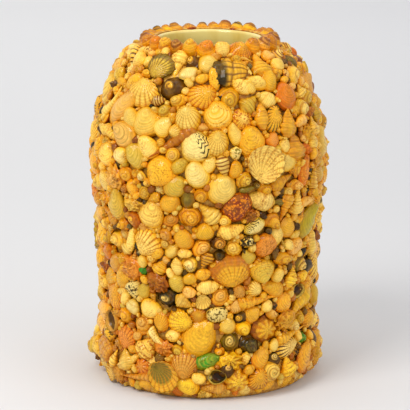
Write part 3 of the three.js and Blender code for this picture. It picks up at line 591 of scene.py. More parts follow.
class Bed:
    """The putty bed's profile, turned round the jar."""

    BODY_THICK = (
        (0.0, 6.0), (0.02, 10.5), (0.055, 13.5), (0.1, 14.5), (0.18, 10.0), (0.38, 9.0),
        (0.5, 10.5), (0.64, 13.5), (0.77, 16.0), (0.84, 16.5), (0.92, 13.5), (0.99, 9.0),
    )
    SHOULDER = (
        (1.12, 0.145), (1.0, 0.316), (0.86, 0.515), (0.76, 0.632), (0.58, 0.732), (0.4, 0.808),
        (0.2, 0.849), (0.02, 0.872),
    )
    STEPS = 12
    CRUST = 8.2 * MM
    FOOT_ROOM = 0.3
    FOOT_HEIGHT = 28 * MM
    SLOPE_REACH = 1.5 * MM
    RAY_NEAREST = 1.8
    RAY_FARTHEST = 2.3
    RAY_STEP = 0.25 * MM

    def __init__(self, jar: JarSizes) -> None:
        """Lay the profile's points and smooth them into one curve.

        Args:
            jar: the jar that the bed covers.
        """
        body = [(jar.radius + thick * MM, jar.body_top * share) for share, thick in self.BODY_THICK]
        reach = jar.radius - jar.neck
        rise = jar.height - jar.body_top
        top = [(jar.neck + reach * out, jar.body_top + rise * up) for out, up in self.SHOULDER]
        self.curve = self._smooth(np.array(body + top))
        steps = np.linalg.norm(np.diff(self.curve, axis=0), axis=1)
        self.arc = np.concatenate([[0.0], np.cumsum(steps)])
        self.length = float(self.arc[-1])
        slope = np.gradient(self.curve, axis=0)
        slope /= np.linalg.norm(slope, axis=1, keepdims=True)
        self.normals = np.stack([slope[:, 1], -slope[:, 0]], axis=1)

    def _smooth(self, points: np.ndarray) -> np.ndarray:
        """Points on a spline through the given ones.

        Args:
            points: radius and height of each point.

        Returns:
            The finer points, in order.
        """
        padded = np.vstack([2 * points[0] - points[1], points, 2 * points[-1] - points[-2]])
        fine = []
        for start in range(len(points) - 1):
            a, b, c, d = padded[start:start + 4]
            for t in np.arange(self.STEPS) / self.STEPS:
                fine.append(
                    0.5 * (2 * b + (c - a) * t + (2 * a - 5 * b + 4 * c - d) * t ** 2
                           + (3 * b - a - 3 * c + d) * t ** 3)
                )
        fine.append(points[-1])
        return np.array(fine)

    def excess(self, points: np.ndarray) -> float:
        """How far points reach out past the outline that the shells keep to.

        Args:
            points: places, one a row.

        Returns:
            The largest excess over the outline, negative where all stay inside.
        """
        across = np.hypot(points[:, 0], points[:, 1])
        gaps = np.hypot(across[:, None] - self.curve[None, :, 0], points[:, 2:3] - self.curve[None, :, 1])
        near = np.argmin(gaps, axis=1)
        away = across - self.curve[near, 0]
        above = points[:, 2] - self.curve[near, 1]
        distance = away * self.normals[near, 0] + above * self.normals[near, 1]
        room = self.CRUST * np.clip(self.FOOT_ROOM + points[:, 2] / self.FOOT_HEIGHT, self.FOOT_ROOM, 1.0)
        return float(np.max(distance - room))

    def _at(self, arc: float) -> tuple[float, float]:
        """Radius and height of the profile at a length along it."""
        return tuple(float(np.interp(arc, self.arc, column)) for column in self.curve.T)

    def seat(self, arc: float, angle: float) -> Seat:
        """Place and directions on the bed.

        Args:
            arc: length along the profile from the foot.
            angle: angle round the axis in radians, 0 at the front.

        Returns:
            The seat.
        """
        radius, height = self._at(arc)
        low = self._at(max(arc - self.SLOPE_REACH, 0.0))
        high = self._at(min(arc + self.SLOPE_REACH, self.length))
        out = Vector((math.sin(angle), -math.cos(angle), 0.0))
        across = Vector((math.cos(angle), math.sin(angle), 0.0))
        up = (out * (high[0] - low[0]) + Vector((0.0, 0.0, high[1] - low[1]))).normalized()
        return Seat(out * radius + Vector((0, 0, height)), across, up, across.cross(up))

    def hit(
        self, view: PhotoView, x: float, y: float, proud: float,
    ) -> Optional[tuple[float, float, float]]:
        """Find where a pixel's ray meets the surface that lies a little outside the bed.

        Args:
            view: the photograph's camera.
            x: pixel from the left.
            y: pixel from the top.
            proud: how far outside the bed the surface lies.

        Returns:
            Arc, angle and distance from the lens, or None where the ray passes by.
        """
        radii = self.curve[:, 0] + self.normals[:, 0] * proud
        heights = np.maximum.accumulate(self.curve[:, 1] + self.normals[:, 1] * proud)
        direction = view.ray(x, y)
        reach = np.arange(self.RAY_NEAREST, self.RAY_FARTHEST, self.RAY_STEP)
        points = np.array(view.eye)[None, :] + reach[:, None] * np.array(direction)[None, :]
        inside = np.hypot(points[:, 0], points[:, 1]) <= np.interp(points[:, 2], heights, radii)
        inside &= (points[:, 2] >= 0) & (points[:, 2] <= heights[-1])
        if not inside.any():
            return None
        first = int(np.argmax(inside))
        px, py, pz = points[first]
        arc = float(np.interp(pz, heights, self.arc))
        return arc, math.atan2(px, -py), float(reach[first])


class Surface(NamedTuple):
    """A closed shell surface of unit size: points, faces, and what its finish reads."""

    points: np.ndarray
    faces: list[tuple[int, ...]]
    uv: list[tuple[float, float]]
    rise: np.ndarray
    groove: np.ndarray


def close_grid(
    grid: np.ndarray, groove: np.ndarray, crown: np.ndarray, end: np.ndarray, least_rise: float = 0.0,
) -> Surface:
    """Close rings of points with a fan at either end.

    Args:
        grid: points as rings by steps round by 3, from the crown down.
        groove: how deep in a furrow each of them lies, 0 to 1.
        crown: the point above the first ring.
        end: the point that closes the last ring.
        least_rise: rise of all that lies above the base, so that a bowl gets no painted shade.

    Returns:
        The surface with its faces outwards.
    """
    rings, around, _ = grid.shape
    points = np.vstack([crown, grid.reshape(-1, 3), end])
    grooves = np.concatenate([[0.0], groove.reshape(-1), [1.0]])
    last = len(points) - 1
    faces: list[tuple[int, ...]] = []
    uv: list[tuple[float, float]] = []
    for i in range(around):
        after = (i + 1) % around
        left, right = i / around, (i + 1) / around
        faces.append((0, 1 + i, 1 + after))
        uv += [((left + right) / 2, 0.0), (left, 1 / rings), (right, 1 / rings)]
        for ring in range(1, rings):
            above, below = 1 + (ring - 1) * around, 1 + ring * around
            faces.append((above + i, below + i, below + after, above + after))
            high, low = ring / rings, (ring + 1) / rings
            uv += [(left, high), (left, low), (right, low), (right, high)]
        base = 1 + (rings - 1) * around
        faces.append((base + i, last, base + after))
        uv += [(left, 1.0), ((left + right) / 2, 1.0), (right, 1.0)]
    height = points[:, 2]
    rise = np.clip(height / max(float(height.max()), 1e-6), 0.0, 1.0)
    rise = np.where(height > 0.1, np.maximum(rise, least_rise), rise)
    return Surface(points, faces, uv, rise, grooves)


def tuck_under(grid: np.ndarray, groove: np.ndarray, taper: float, depth: float) -> None:
    """Lay the last ring of points inside the one before it and below the bed, in full shade."""
    grid[-1] = grid[-2] * np.array([taper, taper, 0.0]) + np.array([0, 0, -depth])
    groove[-1] = 1.0


def angles(around: int) -> np.ndarray:
    """Even angles round a circle, counter-clockwise from +Y."""
    return np.arange(around) * (2 * math.pi / around)


@dataclass(frozen=True)
class HalfShell:
    """One valve of a bivalve or a limpet: ribs and growth lines round a beak.

    Attributes:
        around, rings: how fine the surface is.
        beak: how far the beak lies from the middle, as a share of the length.
        narrow: how much the outline narrows towards the beak.
        ribs: number of ribs, 0 for none.
        rib_depth: depth of the furrows between ribs, as a share of the height.
        growth: depth of the growth steps.
        steps: number of growth steps.
        dome: power of the dome: small is full, large is pointed.
        hollow: floor and steepness of the bowl of a valve that lies open side out.
        star: how far the ribs reach out past the outline.
        skew: how far the outline leans to one side.
    """

    around: int = 32
    rings: int = 8
    beak: float = 0.34
    narrow: float = 0.1
    ribs: int = 0
    rib_depth: float = 0.1
    growth: float = 0.03
    steps: int = 3
    dome: float = 0.55
    hollow: Optional[tuple[float, float]] = None
    star: float = 0.0
    skew: float = 0.0

    RING_SPREAD = 0.8
    BEAK_AREA = 0.018
    BEAK_RISE = 0.3
    BEAK_LEAST = 0.2
    BODY_SHARE = 0.94
    MARGIN = 0.04
    CONE_DOME = 0.9
    CONE_FLANK = 1.4
    STEP_START = 0.2
    STEP_SHADE = 8
    BOWL_RISE = 0.85

    def build(self) -> Surface:
        """Make the valve.

        Returns:
            The closed surface, one unit wide, long and high.
        """
        phi = angles(self.around)
        rib_wave = np.cos(self.ribs * phi) if self.ribs else np.zeros_like(phi)
        reach = 1 + self.star * rib_wave
        edge_x = -0.5 * np.sin(phi) * (1 - self.narrow * np.cos(phi)) * reach
        edge_y = 0.5 * np.cos(phi) * reach
        grid = np.zeros((self.rings + 1, self.around, 3))
        groove = np.zeros((self.rings + 1, self.around))
        for ring in range(self.rings):
            v = ((ring + 1) / self.rings) ** self.RING_SPREAD
            x = (edge_x + self.skew * (0.25 - edge_y ** 2)) * v
            y = self.beak + (edge_y - self.beak) * v
            share = np.clip(np.hypot(2 * (x - self.skew * (0.25 - y ** 2) * v), 2 * y), 0, 1)
            height = (1 - share ** 2) ** self.dome
            if self.dome > self.CONE_DOME:
                height = np.full_like(x, 1 - v ** self.CONE_FLANK)
            bump = np.exp(-(x ** 2 + (y - self.beak) ** 2) / self.BEAK_AREA)
            beak = self.BEAK_RISE * bump * (self.beak > self.BEAK_LEAST)
            height = height * self.BODY_SHARE + beak + self.MARGIN
            wave = rib_wave * v if self.ribs else 0.0
            step = math.cos(2 * math.pi * self.steps * v)
            height = height * (1 + self.rib_depth * wave) + self.growth * step * (v > self.STEP_START)
            if self.hollow:
                height = self._hollow(share, v, wave)
            grid[ring] = np.stack([x, y, height], axis=1)
            furrow = np.clip(-rib_wave, 0, 1) * min(1.0, 2 * v) if self.ribs else 0.0
            groove[ring] = np.clip(furrow + max(0.0, -step) * self.growth * self.STEP_SHADE, 0, 1)
        tuck_under(grid, groove, VALVE_TAPER, VALVE_DEPTH)
        peak = self.hollow[0] if self.hollow else float(grid[0, :, 2].mean()) + 0.02
        return close_grid(
            grid, groove, np.array([[0, self.beak, peak]]), np.array([[0, 0, -VALVE_DEPTH]]),
            self.BOWL_RISE if self.hollow else 0.0,
        )

    def _hollow(self, share: np.ndarray, v: float, wave: np.ndarray | float) -> np.ndarray:
        """Height of the inside of an upturned valve: a thin raised margin round a bowl.

        Args:
            share: how far out each point lies, 0 to 1.
            v: how far out the ring lies, 0 to 1.
            wave: the ribs, -1 to 1.

        Returns:
            The height of each point.
        """
        margin, inside, outside = 0.8, 0.97, 0.92
        bottom, steepness = self.hollow
        bowl = bottom + (margin - bottom) * share ** steepness
        return np.where(v > inside, outside, bowl) * (1 + 0.05 * wave)


@dataclass(frozen=True)
class Spire:
    """A snail seen on its spire, whorls winding out from the peak.

    Attributes:
        around, rings: how fine the surface is.
        turns: number of whorls.
        peak: how far the peak lies from the middle.
        profile: power of the flank: 0.5 is round, 1 a straight cone.
        suture: depth of the seam between whorls.
        knobs: number of knobs a whorl, 0 for none.
    """

    around: int = 24
    rings: int = 14
    turns: float = 2.6
    peak: float = 0.12
    profile: float = 0.5
    suture: float = 0.12
    knobs: int = 0

    RING_SPREAD = 0.9
    WHORL_SPREAD = 0.75
    SEAM_BEFORE = 0.17
    SEAM_BEHIND = 0.1
    SEAM_PINCH = 0.25
    SEAMLESS_FROM = 0.75
    KNOB = 0.05
    MARGIN = 0.05
    TAPER = 0.7

    def build(self) -> Surface:
        """Make the snail.

        Returns:
            The closed surface of unit size.
        """
        phi = angles(self.around)
        grid = np.zeros((self.rings + 1, self.around, 3))
        groove = np.zeros((self.rings + 1, self.around))
        for ring in range(self.rings):
            v = ((ring + 1) / self.rings) ** self.RING_SPREAD
            whorl = (self.turns * v ** self.WHORL_SPREAD - phi / (2 * math.pi)) % 1.0
            seam = np.exp(-(whorl / self.SEAM_BEFORE) ** 2)
            seam = seam + np.exp(-((1 - whorl) / self.SEAM_BEHIND) ** 2)
            fade = min(1.0, 3 * (1 - v)) if v > self.SEAMLESS_FROM else 1.0
            height = 1 - v ** (1 / self.profile)
            height = height - self.suture * seam * fade + self.MARGIN
            out = v * (1 - self.SEAM_PINCH * self.suture * seam * fade)
            if self.knobs:
                bead = np.cos(self.knobs * phi) * (1 - seam)
                height = height + self.KNOB * bead * v
                out = out * (1 + self.KNOB * bead)
            x = -0.5 * np.sin(phi) * out
            y = self.peak * (1 - v) + 0.5 * np.cos(phi) * out
            grid[ring] = np.stack([x, y, height], axis=1)
            groove[ring] = np.clip(seam * fade, 0, 1)
        tuck_under(grid, groove, self.TAPER, SNAIL_DEPTH)
        return close_grid(
            grid, groove, np.array([[0, self.peak, 1 + self.MARGIN]]), np.array([[0, 0, -SNAIL_DEPTH]])
        )


@dataclass(frozen=True)
class LyingSnail:
    """A long snail on its side, its tip at +Y.

    Attributes:
        girth: radius at shares of the length, from the tip to the mouth.
        around, rings: how fine the surface is.
        turns: number of whorls.
        bulge: how far each whorl swells over its seams.
        spread: power that makes the whorls longer towards the mouth.
        knobs: number of ribs or knobs a whorl, 0 for none.
        knob_height: how far they stand out.
        bend: how far the middle bows sideways.
    """

    girth: tuple[tuple[float, float], ...]
    around: int = 14
    rings: int = 26
    turns: float = 5.0
    bulge: float = 0.14
    spread: float = 1.4
    knobs: int = 0
    knob_height: float = 0.12
    bend: float = 0.0

    AXIS_HEIGHT = 0.36
    END_HEIGHT = 0.34
    ROUNDNESS = 1.2
    SWELL = 0.6
    SEAM_WIDTH = 1.6
    VALLEY_SHADE = 0.8

    def build(self) -> Surface:
        """Make the snail.

        Returns:
            The closed surface of unit size.
        """
        phi = angles(self.around)
        shares, widths = zip(*self.girth)
        grid = np.zeros((self.rings, self.around, 3))
        groove = np.zeros((self.rings, self.around))
        for ring in range(self.rings):
            v = (ring + 1) / (self.rings + 1)
            radius = float(np.interp(v, shares, widths))
            whorl = (self.turns * v ** self.spread - phi / (2 * math.pi)) % 1.0
            swell = np.sin(math.pi * whorl) ** self.SWELL
            out = radius * (1 - self.bulge + self.bulge * swell)
            if self.knobs:
                out = out * (1 + self.knob_height * np.maximum(0, np.cos(self.knobs * phi)) * swell)
            bow = self.bend * math.sin(math.pi * v)
            height = self.AXIS_HEIGHT + self.ROUNDNESS * out * np.cos(phi)
            grid[ring] = np.stack([bow + out * np.sin(phi), np.full_like(phi, 0.5 - v), height], axis=1)
            valley = np.maximum(0, -np.cos(self.knobs * phi)) * self.VALLEY_SHADE if self.knobs else 0.0
            seam = np.clip(1 - swell * self.SEAM_WIDTH, 0, 1) * (self.bulge > 0)
            groove[ring] = np.maximum(seam, valley)
        return close_grid(
            grid, groove, np.array([[0, 0.5, self.AXIS_HEIGHT]]), np.array([[0, -0.5, self.END_HEIGHT]])
        )


@dataclass(frozen=True)
class CoralLump:
    """A knobbly lump with pits.

    Attributes:
        around, rings: how fine the surface is.
        roughness: how far the knobs stand out.
        phase: shifts the knobs, so that lumps differ.
    """

    around: int = 20
    rings: int = 9
    roughness: float = 0.2
    phase: float = 0.0

    DOME = 0.9
    MARGIN = 0.06
    TAPER = 0.8

    def build(self) -> Surface:
        """Make the lump.

        Returns:
            The closed surface of unit size.
        """
        phi = angles(self.around)
        grid = np.zeros((self.rings + 1, self.around, 3))
        groove = np.zeros((self.rings + 1, self.around))
        for ring in range(self.rings):
            v = (ring + 1) / self.rings
            tilt = v * math.pi / 2
            wave = np.sin(5 * phi + 9 * v + self.phase) * np.cos(3 * phi - 11 * v + 2 * self.phase)
            wave = wave + 0.6 * np.sin(9 * phi - 6 * v + self.phase)
            out = 1 + self.roughness * wave
            grid[ring] = np.stack(
                [-0.5 * np.sin(phi) * math.sin(tilt) * out, 0.5 * np.cos(phi) * math.sin(tilt) * out,
                 self.DOME * math.cos(tilt) * out + self.MARGIN],
                axis=1,
            )
            groove[ring] = np.clip(-wave, 0, 1)
        tuck_under(grid, groove, self.TAPER, SNAIL_DEPTH)
        return close_grid(
            grid, groove, np.array([[0, 0, self.DOME + self.MARGIN]]), np.array([[0, 0, -SNAIL_DEPTH]])
        )


WHELK_GIRTH = ((0, 0.02), (0.2, 0.17), (0.42, 0.32), (0.62, 0.5), (0.78, 0.46), (0.92, 0.24), (1, 0.08))
TURRET_GIRTH = ((0, 0.03), (0.85, 0.5), (0.95, 0.44), (1, 0.16))
CONE_GIRTH = ((0, 0.03), (0.1, 0.2), (0.22, 0.44), (0.34, 0.5), (0.66, 0.38), (0.9, 0.18), (1, 0.08))
MUREX_GIRTH = ((0, 0.16), (0.15, 0.34), (0.4, 0.46), (0.65, 0.5), (0.88, 0.42), (1, 0.14))
BEAN_GIRTH = ((0, 0.1), (0.08, 0.28), (0.25, 0.45), (0.5, 0.5), (0.75, 0.45), (0.92, 0.28), (1, 0.1))
OLIVE_GIRTH = ((0, 0.02), (0.08, 0.14), (0.2, 0.32), (0.45, 0.48), (0.7, 0.47), (0.9, 0.28), (1, 0.1))
TUSK_GIRTH = ((0, 0.12), (0.3, 0.3), (0.8, 0.48), (1, 0.42))


@dataclass(frozen=True)
class Kind:
    """How one kind of shell is made and set.

    Attributes:
        forms: its variants, each with a build method.
        height: height as a share of the width.
        lean: largest tilt in degrees.
        slot: name of its finish.
        nodes: start of the names of the solids that it stands for.
    """

    forms: tuple
    height: float
    lean: float
    slot: str
    nodes: str = ""


KINDS: dict[Form, Kind] = {
    Form.SCALLOP: Kind(
        (HalfShell(around=76, rings=7, beak=0.45, narrow=0.22, ribs=19, rib_depth=0.08, star=0.02),
         HalfShell(around=68, rings=7, beak=0.45, narrow=0.3, ribs=17, rib_depth=0.1, star=0.025)),
        height=0.3, lean=12, slot="shell_ribbed", nodes="scallop"),
    Form.COCKLE: Kind(
        (HalfShell(around=72, rings=6, beak=0.36, narrow=0.08, ribs=18, rib_depth=0.07, steps=4),
         HalfShell(around=64, rings=6, beak=0.3, narrow=0.14, ribs=16, rib_depth=0.09, skew=0.2)),
        height=0.42, lean=16, slot="shell_ribbed", nodes="cockle"),
    Form.CLAM: Kind(
        (HalfShell(around=26, rings=8, beak=0.36, narrow=0.1, growth=0.012, steps=4, skew=0.25),
         HalfShell(around=26, rings=7, beak=0.3, narrow=0.02, growth=0.018, steps=3, skew=-0.2),
         HalfShell(around=26, rings=8, beak=0.38, narrow=0.24, growth=0.01, steps=5),
         HalfShell(around=26, rings=7, beak=0.34, narrow=-0.1, growth=0.012, steps=3, skew=0.35),
         HalfShell(around=26, rings=8, beak=0.4, narrow=0.34, growth=0.012, steps=4, skew=-0.3)),
        height=0.4, lean=20, slot="shell_smooth", nodes="clam"),
    Form.CUP: Kind(
        (HalfShell(around=64, rings=10, beak=0.36, narrow=0.1, hollow=(0.34, 2.0), growth=0.0, ribs=16,
                   star=0.012),),
        height=0.3, lean=10, slot="shell_smooth", nodes="cup_shell"),
    Form.MOUTH: Kind(
        (HalfShell(around=22, rings=8, beak=0.1, narrow=0.12, hollow=(-0.1, 3.0), growth=0.0),),
        height=0.5, lean=10, slot="shell_snail"),
    Form.MUSSEL: Kind(
        (HalfShell(around=28, rings=9, beak=0.42, narrow=0.28, growth=0.03, steps=4),),
        height=0.46, lean=10, slot="shell_smooth", nodes="mussel"),
    Form.LIMPET: Kind(
        (HalfShell(around=40, rings=7, beak=0.05, narrow=0.05, ribs=20, rib_depth=0.05, dome=1.0,
                   growth=0.02, steps=4),),
        height=0.36, lean=12, slot="shell_ribbed", nodes="limpet"),
    Form.STAR: Kind(
        (HalfShell(around=40, rings=7, beak=0.03, narrow=0.0, ribs=8, rib_depth=0.12, dome=1.0,
                   growth=0.03, steps=3, star=0.08),),
        height=0.36, lean=8, slot="shell_ribbed"),
    Form.MOON: Kind(
        (Spire(turns=2.4, profile=0.45, suture=0.1),
         Spire(turns=2.0, profile=0.5, suture=0.08, peak=0.2)),
        height=0.62, lean=25, slot="shell_snail", nodes="moon_snail"),
    Form.TOP: Kind(
        (Spire(turns=3.6, profile=0.8, suture=0.12, rings=16),
         Spire(turns=3.2, profile=0.7, suture=0.13, rings=16, knobs=10)),
        height=0.6, lean=20, slot="shell_snail", nodes="top_snail"),
    Form.WINKLE: Kind(
        (Spire(turns=2.2, profile=0.34, suture=0.08, peak=0.03),
         Spire(turns=2.8, profile=0.42, suture=0.09, peak=0.06)),
        height=0.6, lean=20, slot="shell_snail"),
    Form.WHELK: Kind(
        (LyingSnail(WHELK_GIRTH, turns=4.5, knobs=9, knob_height=0.14),
         LyingSnail(WHELK_GIRTH, turns=5.0, knobs=12, knob_height=0.1, bulge=0.18)),
        height=0.68, lean=10, slot="shell_snail", nodes="whelk"),
    Form.MUREX: Kind(
        (LyingSnail(MUREX_GIRTH, around=48, rings=24, turns=3.0, knobs=12, knob_height=0.16,
                    bulge=0.1),),
        height=0.55, lean=8, slot="shell_dark", nodes="murex"),
    Form.TURRET: Kind(
        (LyingSnail(TURRET_GIRTH, turns=8.0, rings=44, spread=1.1, bulge=0.2),
         LyingSnail(TURRET_GIRTH, turns=6.5, rings=38, spread=1.1, bulge=0.2, knobs=10)),
        height=0.9, lean=8, slot="shell_snail", nodes="turret"),
    Form.CONE: Kind(
        (LyingSnail(CONE_GIRTH, turns=3.0, bulge=0.04, spread=0.6, rings=18),),
        height=0.8, lean=12, slot="shell_snail"),
    Form.BEAN: Kind(
        (LyingSnail(BEAN_GIRTH, turns=1.0, bulge=0.0, rings=12),
         LyingSnail(OLIVE_GIRTH, turns=3.0, bulge=0.05, spread=0.4, rings=16)),
        height=0.8, lean=12, slot="shell_smooth"),
    Form.CORAL: Kind(
        (CoralLump(), CoralLump(roughness=0.28, phase=2.0)),
        height=0.5, lean=12, slot="shell_ribbed"),
    Form.GRIT: Kind(
        (LyingSnail(OLIVE_GIRTH, around=9, rings=7, turns=2.5, bulge=0.12, spread=0.6),
         LyingSnail(BEAN_GIRTH, around=9, rings=6, turns=1.0, bulge=0.0),
         Spire(around=9, rings=5, turns=1.6, profile=0.5, suture=0.1)),
        height=0.8, lean=25, slot="shell_smooth"),
    Form.TUSK: Kind(
        (LyingSnail(TUSK_GIRTH, turns=1.0, bulge=0.0, rings=14, bend=0.5),),
        height=1.0, lean=6, slot="shell_smooth"),
}


class Placed(NamedTuple):
    """A shell set on the jar: where, how it is turned, how large, and its looks."""

    form: Form
    variant: int
    matrix: Matrix
    size: Vector
    hue: Hue
    mark: Mark
    second: Hue
    tone: float


class FillRound(NamedTuple):
    """One round of filling the free places.

    Attributes:
        forms: weighted kinds.
        hues: weighted colours.
        least: smallest radius of a free place, in metres.
        most: largest radius that is used.
        tries: number of places tried.
        overlap: how far shells may reach over each other, as a share of the radius.
    """

    forms: tuple
    hues: tuple
    least: float
    most: float
    tries: int
    overlap: float


class Crowd:
    """Circles taken up by the shells, for finding free places."""

    CELL = 16 * MM
    CELLS_ROUND = 2

    def __init__(self) -> None:
        """Start with a bare bed."""
        self.cells: dict[tuple[int, int, int], list[tuple[Vector, float]]] = {}

    def _key(self, point: Vector) -> tuple[int, int, int]:
        """Cell of a point."""
        return tuple(int(math.floor(value / self.CELL)) for value in point)

    def add(self, point: Vector, radius: float) -> None:
        """Take up a circle."""
        self.cells.setdefault(self._key(point), []).append((point, radius))

    def room(self, point: Vector, most: float) -> float:
        """Largest free radius round a point.

        Args:
            point: the place.
            most: no more room than this is wanted.

        Returns:
            The radius, negative inside another circle.
        """
        free = most
        near = range(-self.CELLS_ROUND, self.CELLS_ROUND + 1)
        x, y, z = self._key(point)
        for dx in near:
            for dy in near:
                for dz in near:
                    for other, radius in self.cells.get((x + dx, y + dy, z + dz), ()):
                        free = min(free, (other - point).length - radius)
        return free


@dataclass
class ShellLayer:
    """All the shells of the wall: those read from the photograph, and those that fill the rest."""

    bed: Bed
    view: PhotoView
    placed: list[Placed] = field(default_factory=list)
    crowd: Crowd = field(default_factory=Crowd)
    random: random.Random = field(default_factory=lambda: random.Random(SEED))

    PROUD = 0.2 * MM
    PROUD_BY_SIZE = 0.03
    MOST_SUNK = 9 * MM
    OFF_FLOOR = 2 * MM
    FLANK = 0.3
    READ_GROWTH = 1.13
    READ_TAKEN = 0.8
    MIDDLE_HEIGHT = 0.5
    FACING = 0.8
    LEAST_COSINE = 0.72
    LEANING_WIDTH = 12 * MM
    HEIGHT_SPREAD = (0.92, 1.1)
    LONG = 1.3
    CROWN_IN = 0.7
    CROWN_UP = 0.6
    SHOULDER = 285 * MM
    SHOULDER_RADIUS = 6 * MM
    FIRST_ARC = 6 * MM
    WIDEST = 112 * MM
    EDGE_ROOM = 3

    LARGE_HUES = (
        (H.HONEY, 24), (H.GOLD, 14), (H.PALE, 14), (H.AMBER, 10), (H.YELLOW, 5), (H.OLIVE, 6),
        (H.PINK, 6), (H.TAN, 6), (H.IVORY, 5), (H.SAND, 4), (H.CORAL, 2),
    )
    LIGHT_HUES = LARGE_HUES + (
        (H.ORANGE, 3), (H.RUSSET, 4), (H.CHESTNUT, 2), (H.CHARCOAL, 2), (H.UMBER, 2), (H.MOSS, 1),
        (H.MAROON, 1), (H.LIME, 1),
    )
    SMALL_HUES = (
        (H.HONEY, 20), (H.GOLD, 14), (H.AMBER, 14), (H.PALE, 8), (H.RUSSET, 7), (H.PINK, 5),
        (H.CHARCOAL, 4), (H.UMBER, 5), (H.OLIVE, 4), (H.CHESTNUT, 5), (H.TAN, 6),
    )
    LARGE_FORMS = (
        (F.CLAM, 30), (F.COCKLE, 10), (F.SCALLOP, 9), (F.MUSSEL, 7), (F.LIMPET, 6), (F.WHELK, 12),
        (F.MOON, 8), (F.CUP, 4), (F.TURRET, 5), (F.CONE, 4), (F.TOP, 5), (F.MUREX, 1), (F.STAR, 1),
    )
    MIDDLE_FORMS = (
        (F.CLAM, 24), (F.MOON, 14), (F.TOP, 14), (F.BEAN, 16), (F.WHELK, 12), (F.COCKLE, 7),
        (F.CONE, 5), (F.LIMPET, 4), (F.CORAL, 5), (F.SCALLOP, 3), (F.CUP, 2), (F.TURRET, 4),
        (F.WINKLE, 5),
    )
    SMALL_FORMS = ((F.GRIT, 1),)
    ROUNDS = (
        FillRound(LARGE_FORMS, LARGE_HUES, 9 * MM, 12 * MM, 3000, 0.24),
        FillRound(LARGE_FORMS, LARGE_HUES, 6.8 * MM, 9 * MM, 6000, 0.3),
        FillRound(MIDDLE_FORMS, LIGHT_HUES, 4.6 * MM, 6.8 * MM, 12000, 0.35),
        FillRound(MIDDLE_FORMS, SMALL_HUES, 2.9 * MM, 4.6 * MM, 24000, 0.45),
        FillRound(SMALL_FORMS, SMALL_HUES, 1.6 * MM, 2.9 * MM, 40000, 0.6),
    )
    MARKS = ((M.PLAIN, 9), (M.SOFT_RINGS, 5), (M.SOFT_SPOTS, 2), (M.RINGS, 1), (M.SPOTS, 1))
    RIBBED_MARKS = ((M.PLAIN, 2), (M.SOFT_RAYS, 3), (M.RAYS, 1))
    RIBBED = (F.SCALLOP, F.COCKLE, F.LIMPET, F.STAR)
    MARK_HUES = ((H.RUSSET, 3), (H.AMBER, 4), (H.CHESTNUT, 2), (H.IVORY, 2), (H.UMBER, 1))
    SLENDER = {
        F.MUSSEL: (1.6, 2.0), F.WHELK: (1.4, 1.8), F.TURRET: (2.2, 3.0), F.CONE: (1.4, 1.8),
        F.BEAN: (1.2, 1.7), F.MUREX: (1.2, 1.5), F.TUSK: (3.0, 4.0),
    }
    ROUND = (1.0, 1.15)

    def _pick(self, choices: Sequence[tuple]) -> Enum:
        """Draw one of some weighted choices."""
        values, weights = zip(*choices)
        return self.random.choices(values, weights)[0]

    def _slender(self, form: Form) -> float:
        """Draw a kind's length over its width."""
        return self.random.uniform(*self.SLENDER.get(form, self.ROUND))

    def settle(
        self, form: Form, seat: Seat, length: float, width: float, turn: float,
        looks: tuple[Hue, Mark, Hue], taken: float = 1.0, body: Optional[float] = None,
    ) -> None:
        """Set one shell on the bed and take up its room.

        Args:
            form: its kind.
            seat: where it sits.
            length: its length in metres.
            width: its width in metres.
            turn: the way its beak or tip points, in radians.
            looks: its colour, its marking and the marking's colour.
            taken: share of its size in which no other shell is set.
            body: the width that its height goes by, if not its own.
        """
        kind = KINDS[form]
        level = Vector((seat.normal.x, seat.normal.y, 0.0))
        normal = (seat.normal + level * (self.FACING * abs(seat.normal.z))).normalized()
        upright = Matrix((seat.across, normal.cross(seat.across), normal)).transposed()
        lean = math.radians(kind.lean) * min(1.0, self.LEANING_WIDTH / width)
        tilt = Matrix.Rotation(self.random.uniform(-lean, lean), 3, "X")
        tilt = tilt @ Matrix.Rotation(self.random.uniform(-lean, lean), 3, "Y")
        turned = upright @ Matrix.Rotation(turn - math.pi / 2, 3, "Z") @ tilt
        height = (body or width) * kind.height * self.random.uniform(*self.HEIGHT_SPREAD)
        size = Vector((width, length, height))
        place = seat.point + seat.normal * (self.PROUD + self.PROUD_BY_SIZE * (body or width))
        place = self._kept_in(place, turned, size, seat.normal)
        self.placed.append(Placed(
            form, self.random.randrange(len(kind.forms)), Matrix.Translation(place) @ turned.to_4x4(),
            size, *looks, self.random.uniform(-1, 1),
        ))
        along = (turned @ Vector((0, 1, 0))).normalized()
        if length > self.LONG * width:
            for share in (-0.5, 0.0, 0.5):
                self.crowd.add(seat.point + along * (share * (length - width)), width * taken / 2)
        else:
            self.crowd.add(seat.point.copy(), (width + length) * taken / 4)

    def _kept_in(self, place: Vector, turned: Matrix, size: Vector, normal: Vector) -> Vector:
        """Sink a shell until it keeps to the jar's outline, and lift it until it clears the floor.

        Args:
            place: middle of its base.
            turned: its directions.
            size: its width, length and height.
            normal: direction away from the bed.

        Returns:
            The new middle of its base.
        """
        half = size / 2
        corners = [
            Vector((half.x * math.cos(a), half.y * math.sin(a), size.z * self.FLANK))
            for a in (math.pi * i / 4 for i in range(8))
        ]
        crown = Vector((0, 0, size.z * self.CROWN_UP))
        corners += [corner * self.CROWN_IN + crown for corner in corners[::2]]
        corners.append(Vector((0, 0, size.z)))
        reach = np.array([place + turned @ corner for corner in corners])
        over = min(max(self.bed.excess(reach), 0.0), self.MOST_SUNK)
        sunk = place - normal * over
        flank = corners[:8]
        under = -VALVE_DEPTH * size.z
        skirt = [Vector((corner.x * VALVE_TAPER, corner.y * VALVE_TAPER, under)) for corner in flank]
        lowest = min((sunk + turned @ corner).z for corner in flank + skirt)
        sunk.z += max(0.0, self.OFF_FLOOR - lowest)
        return sunk

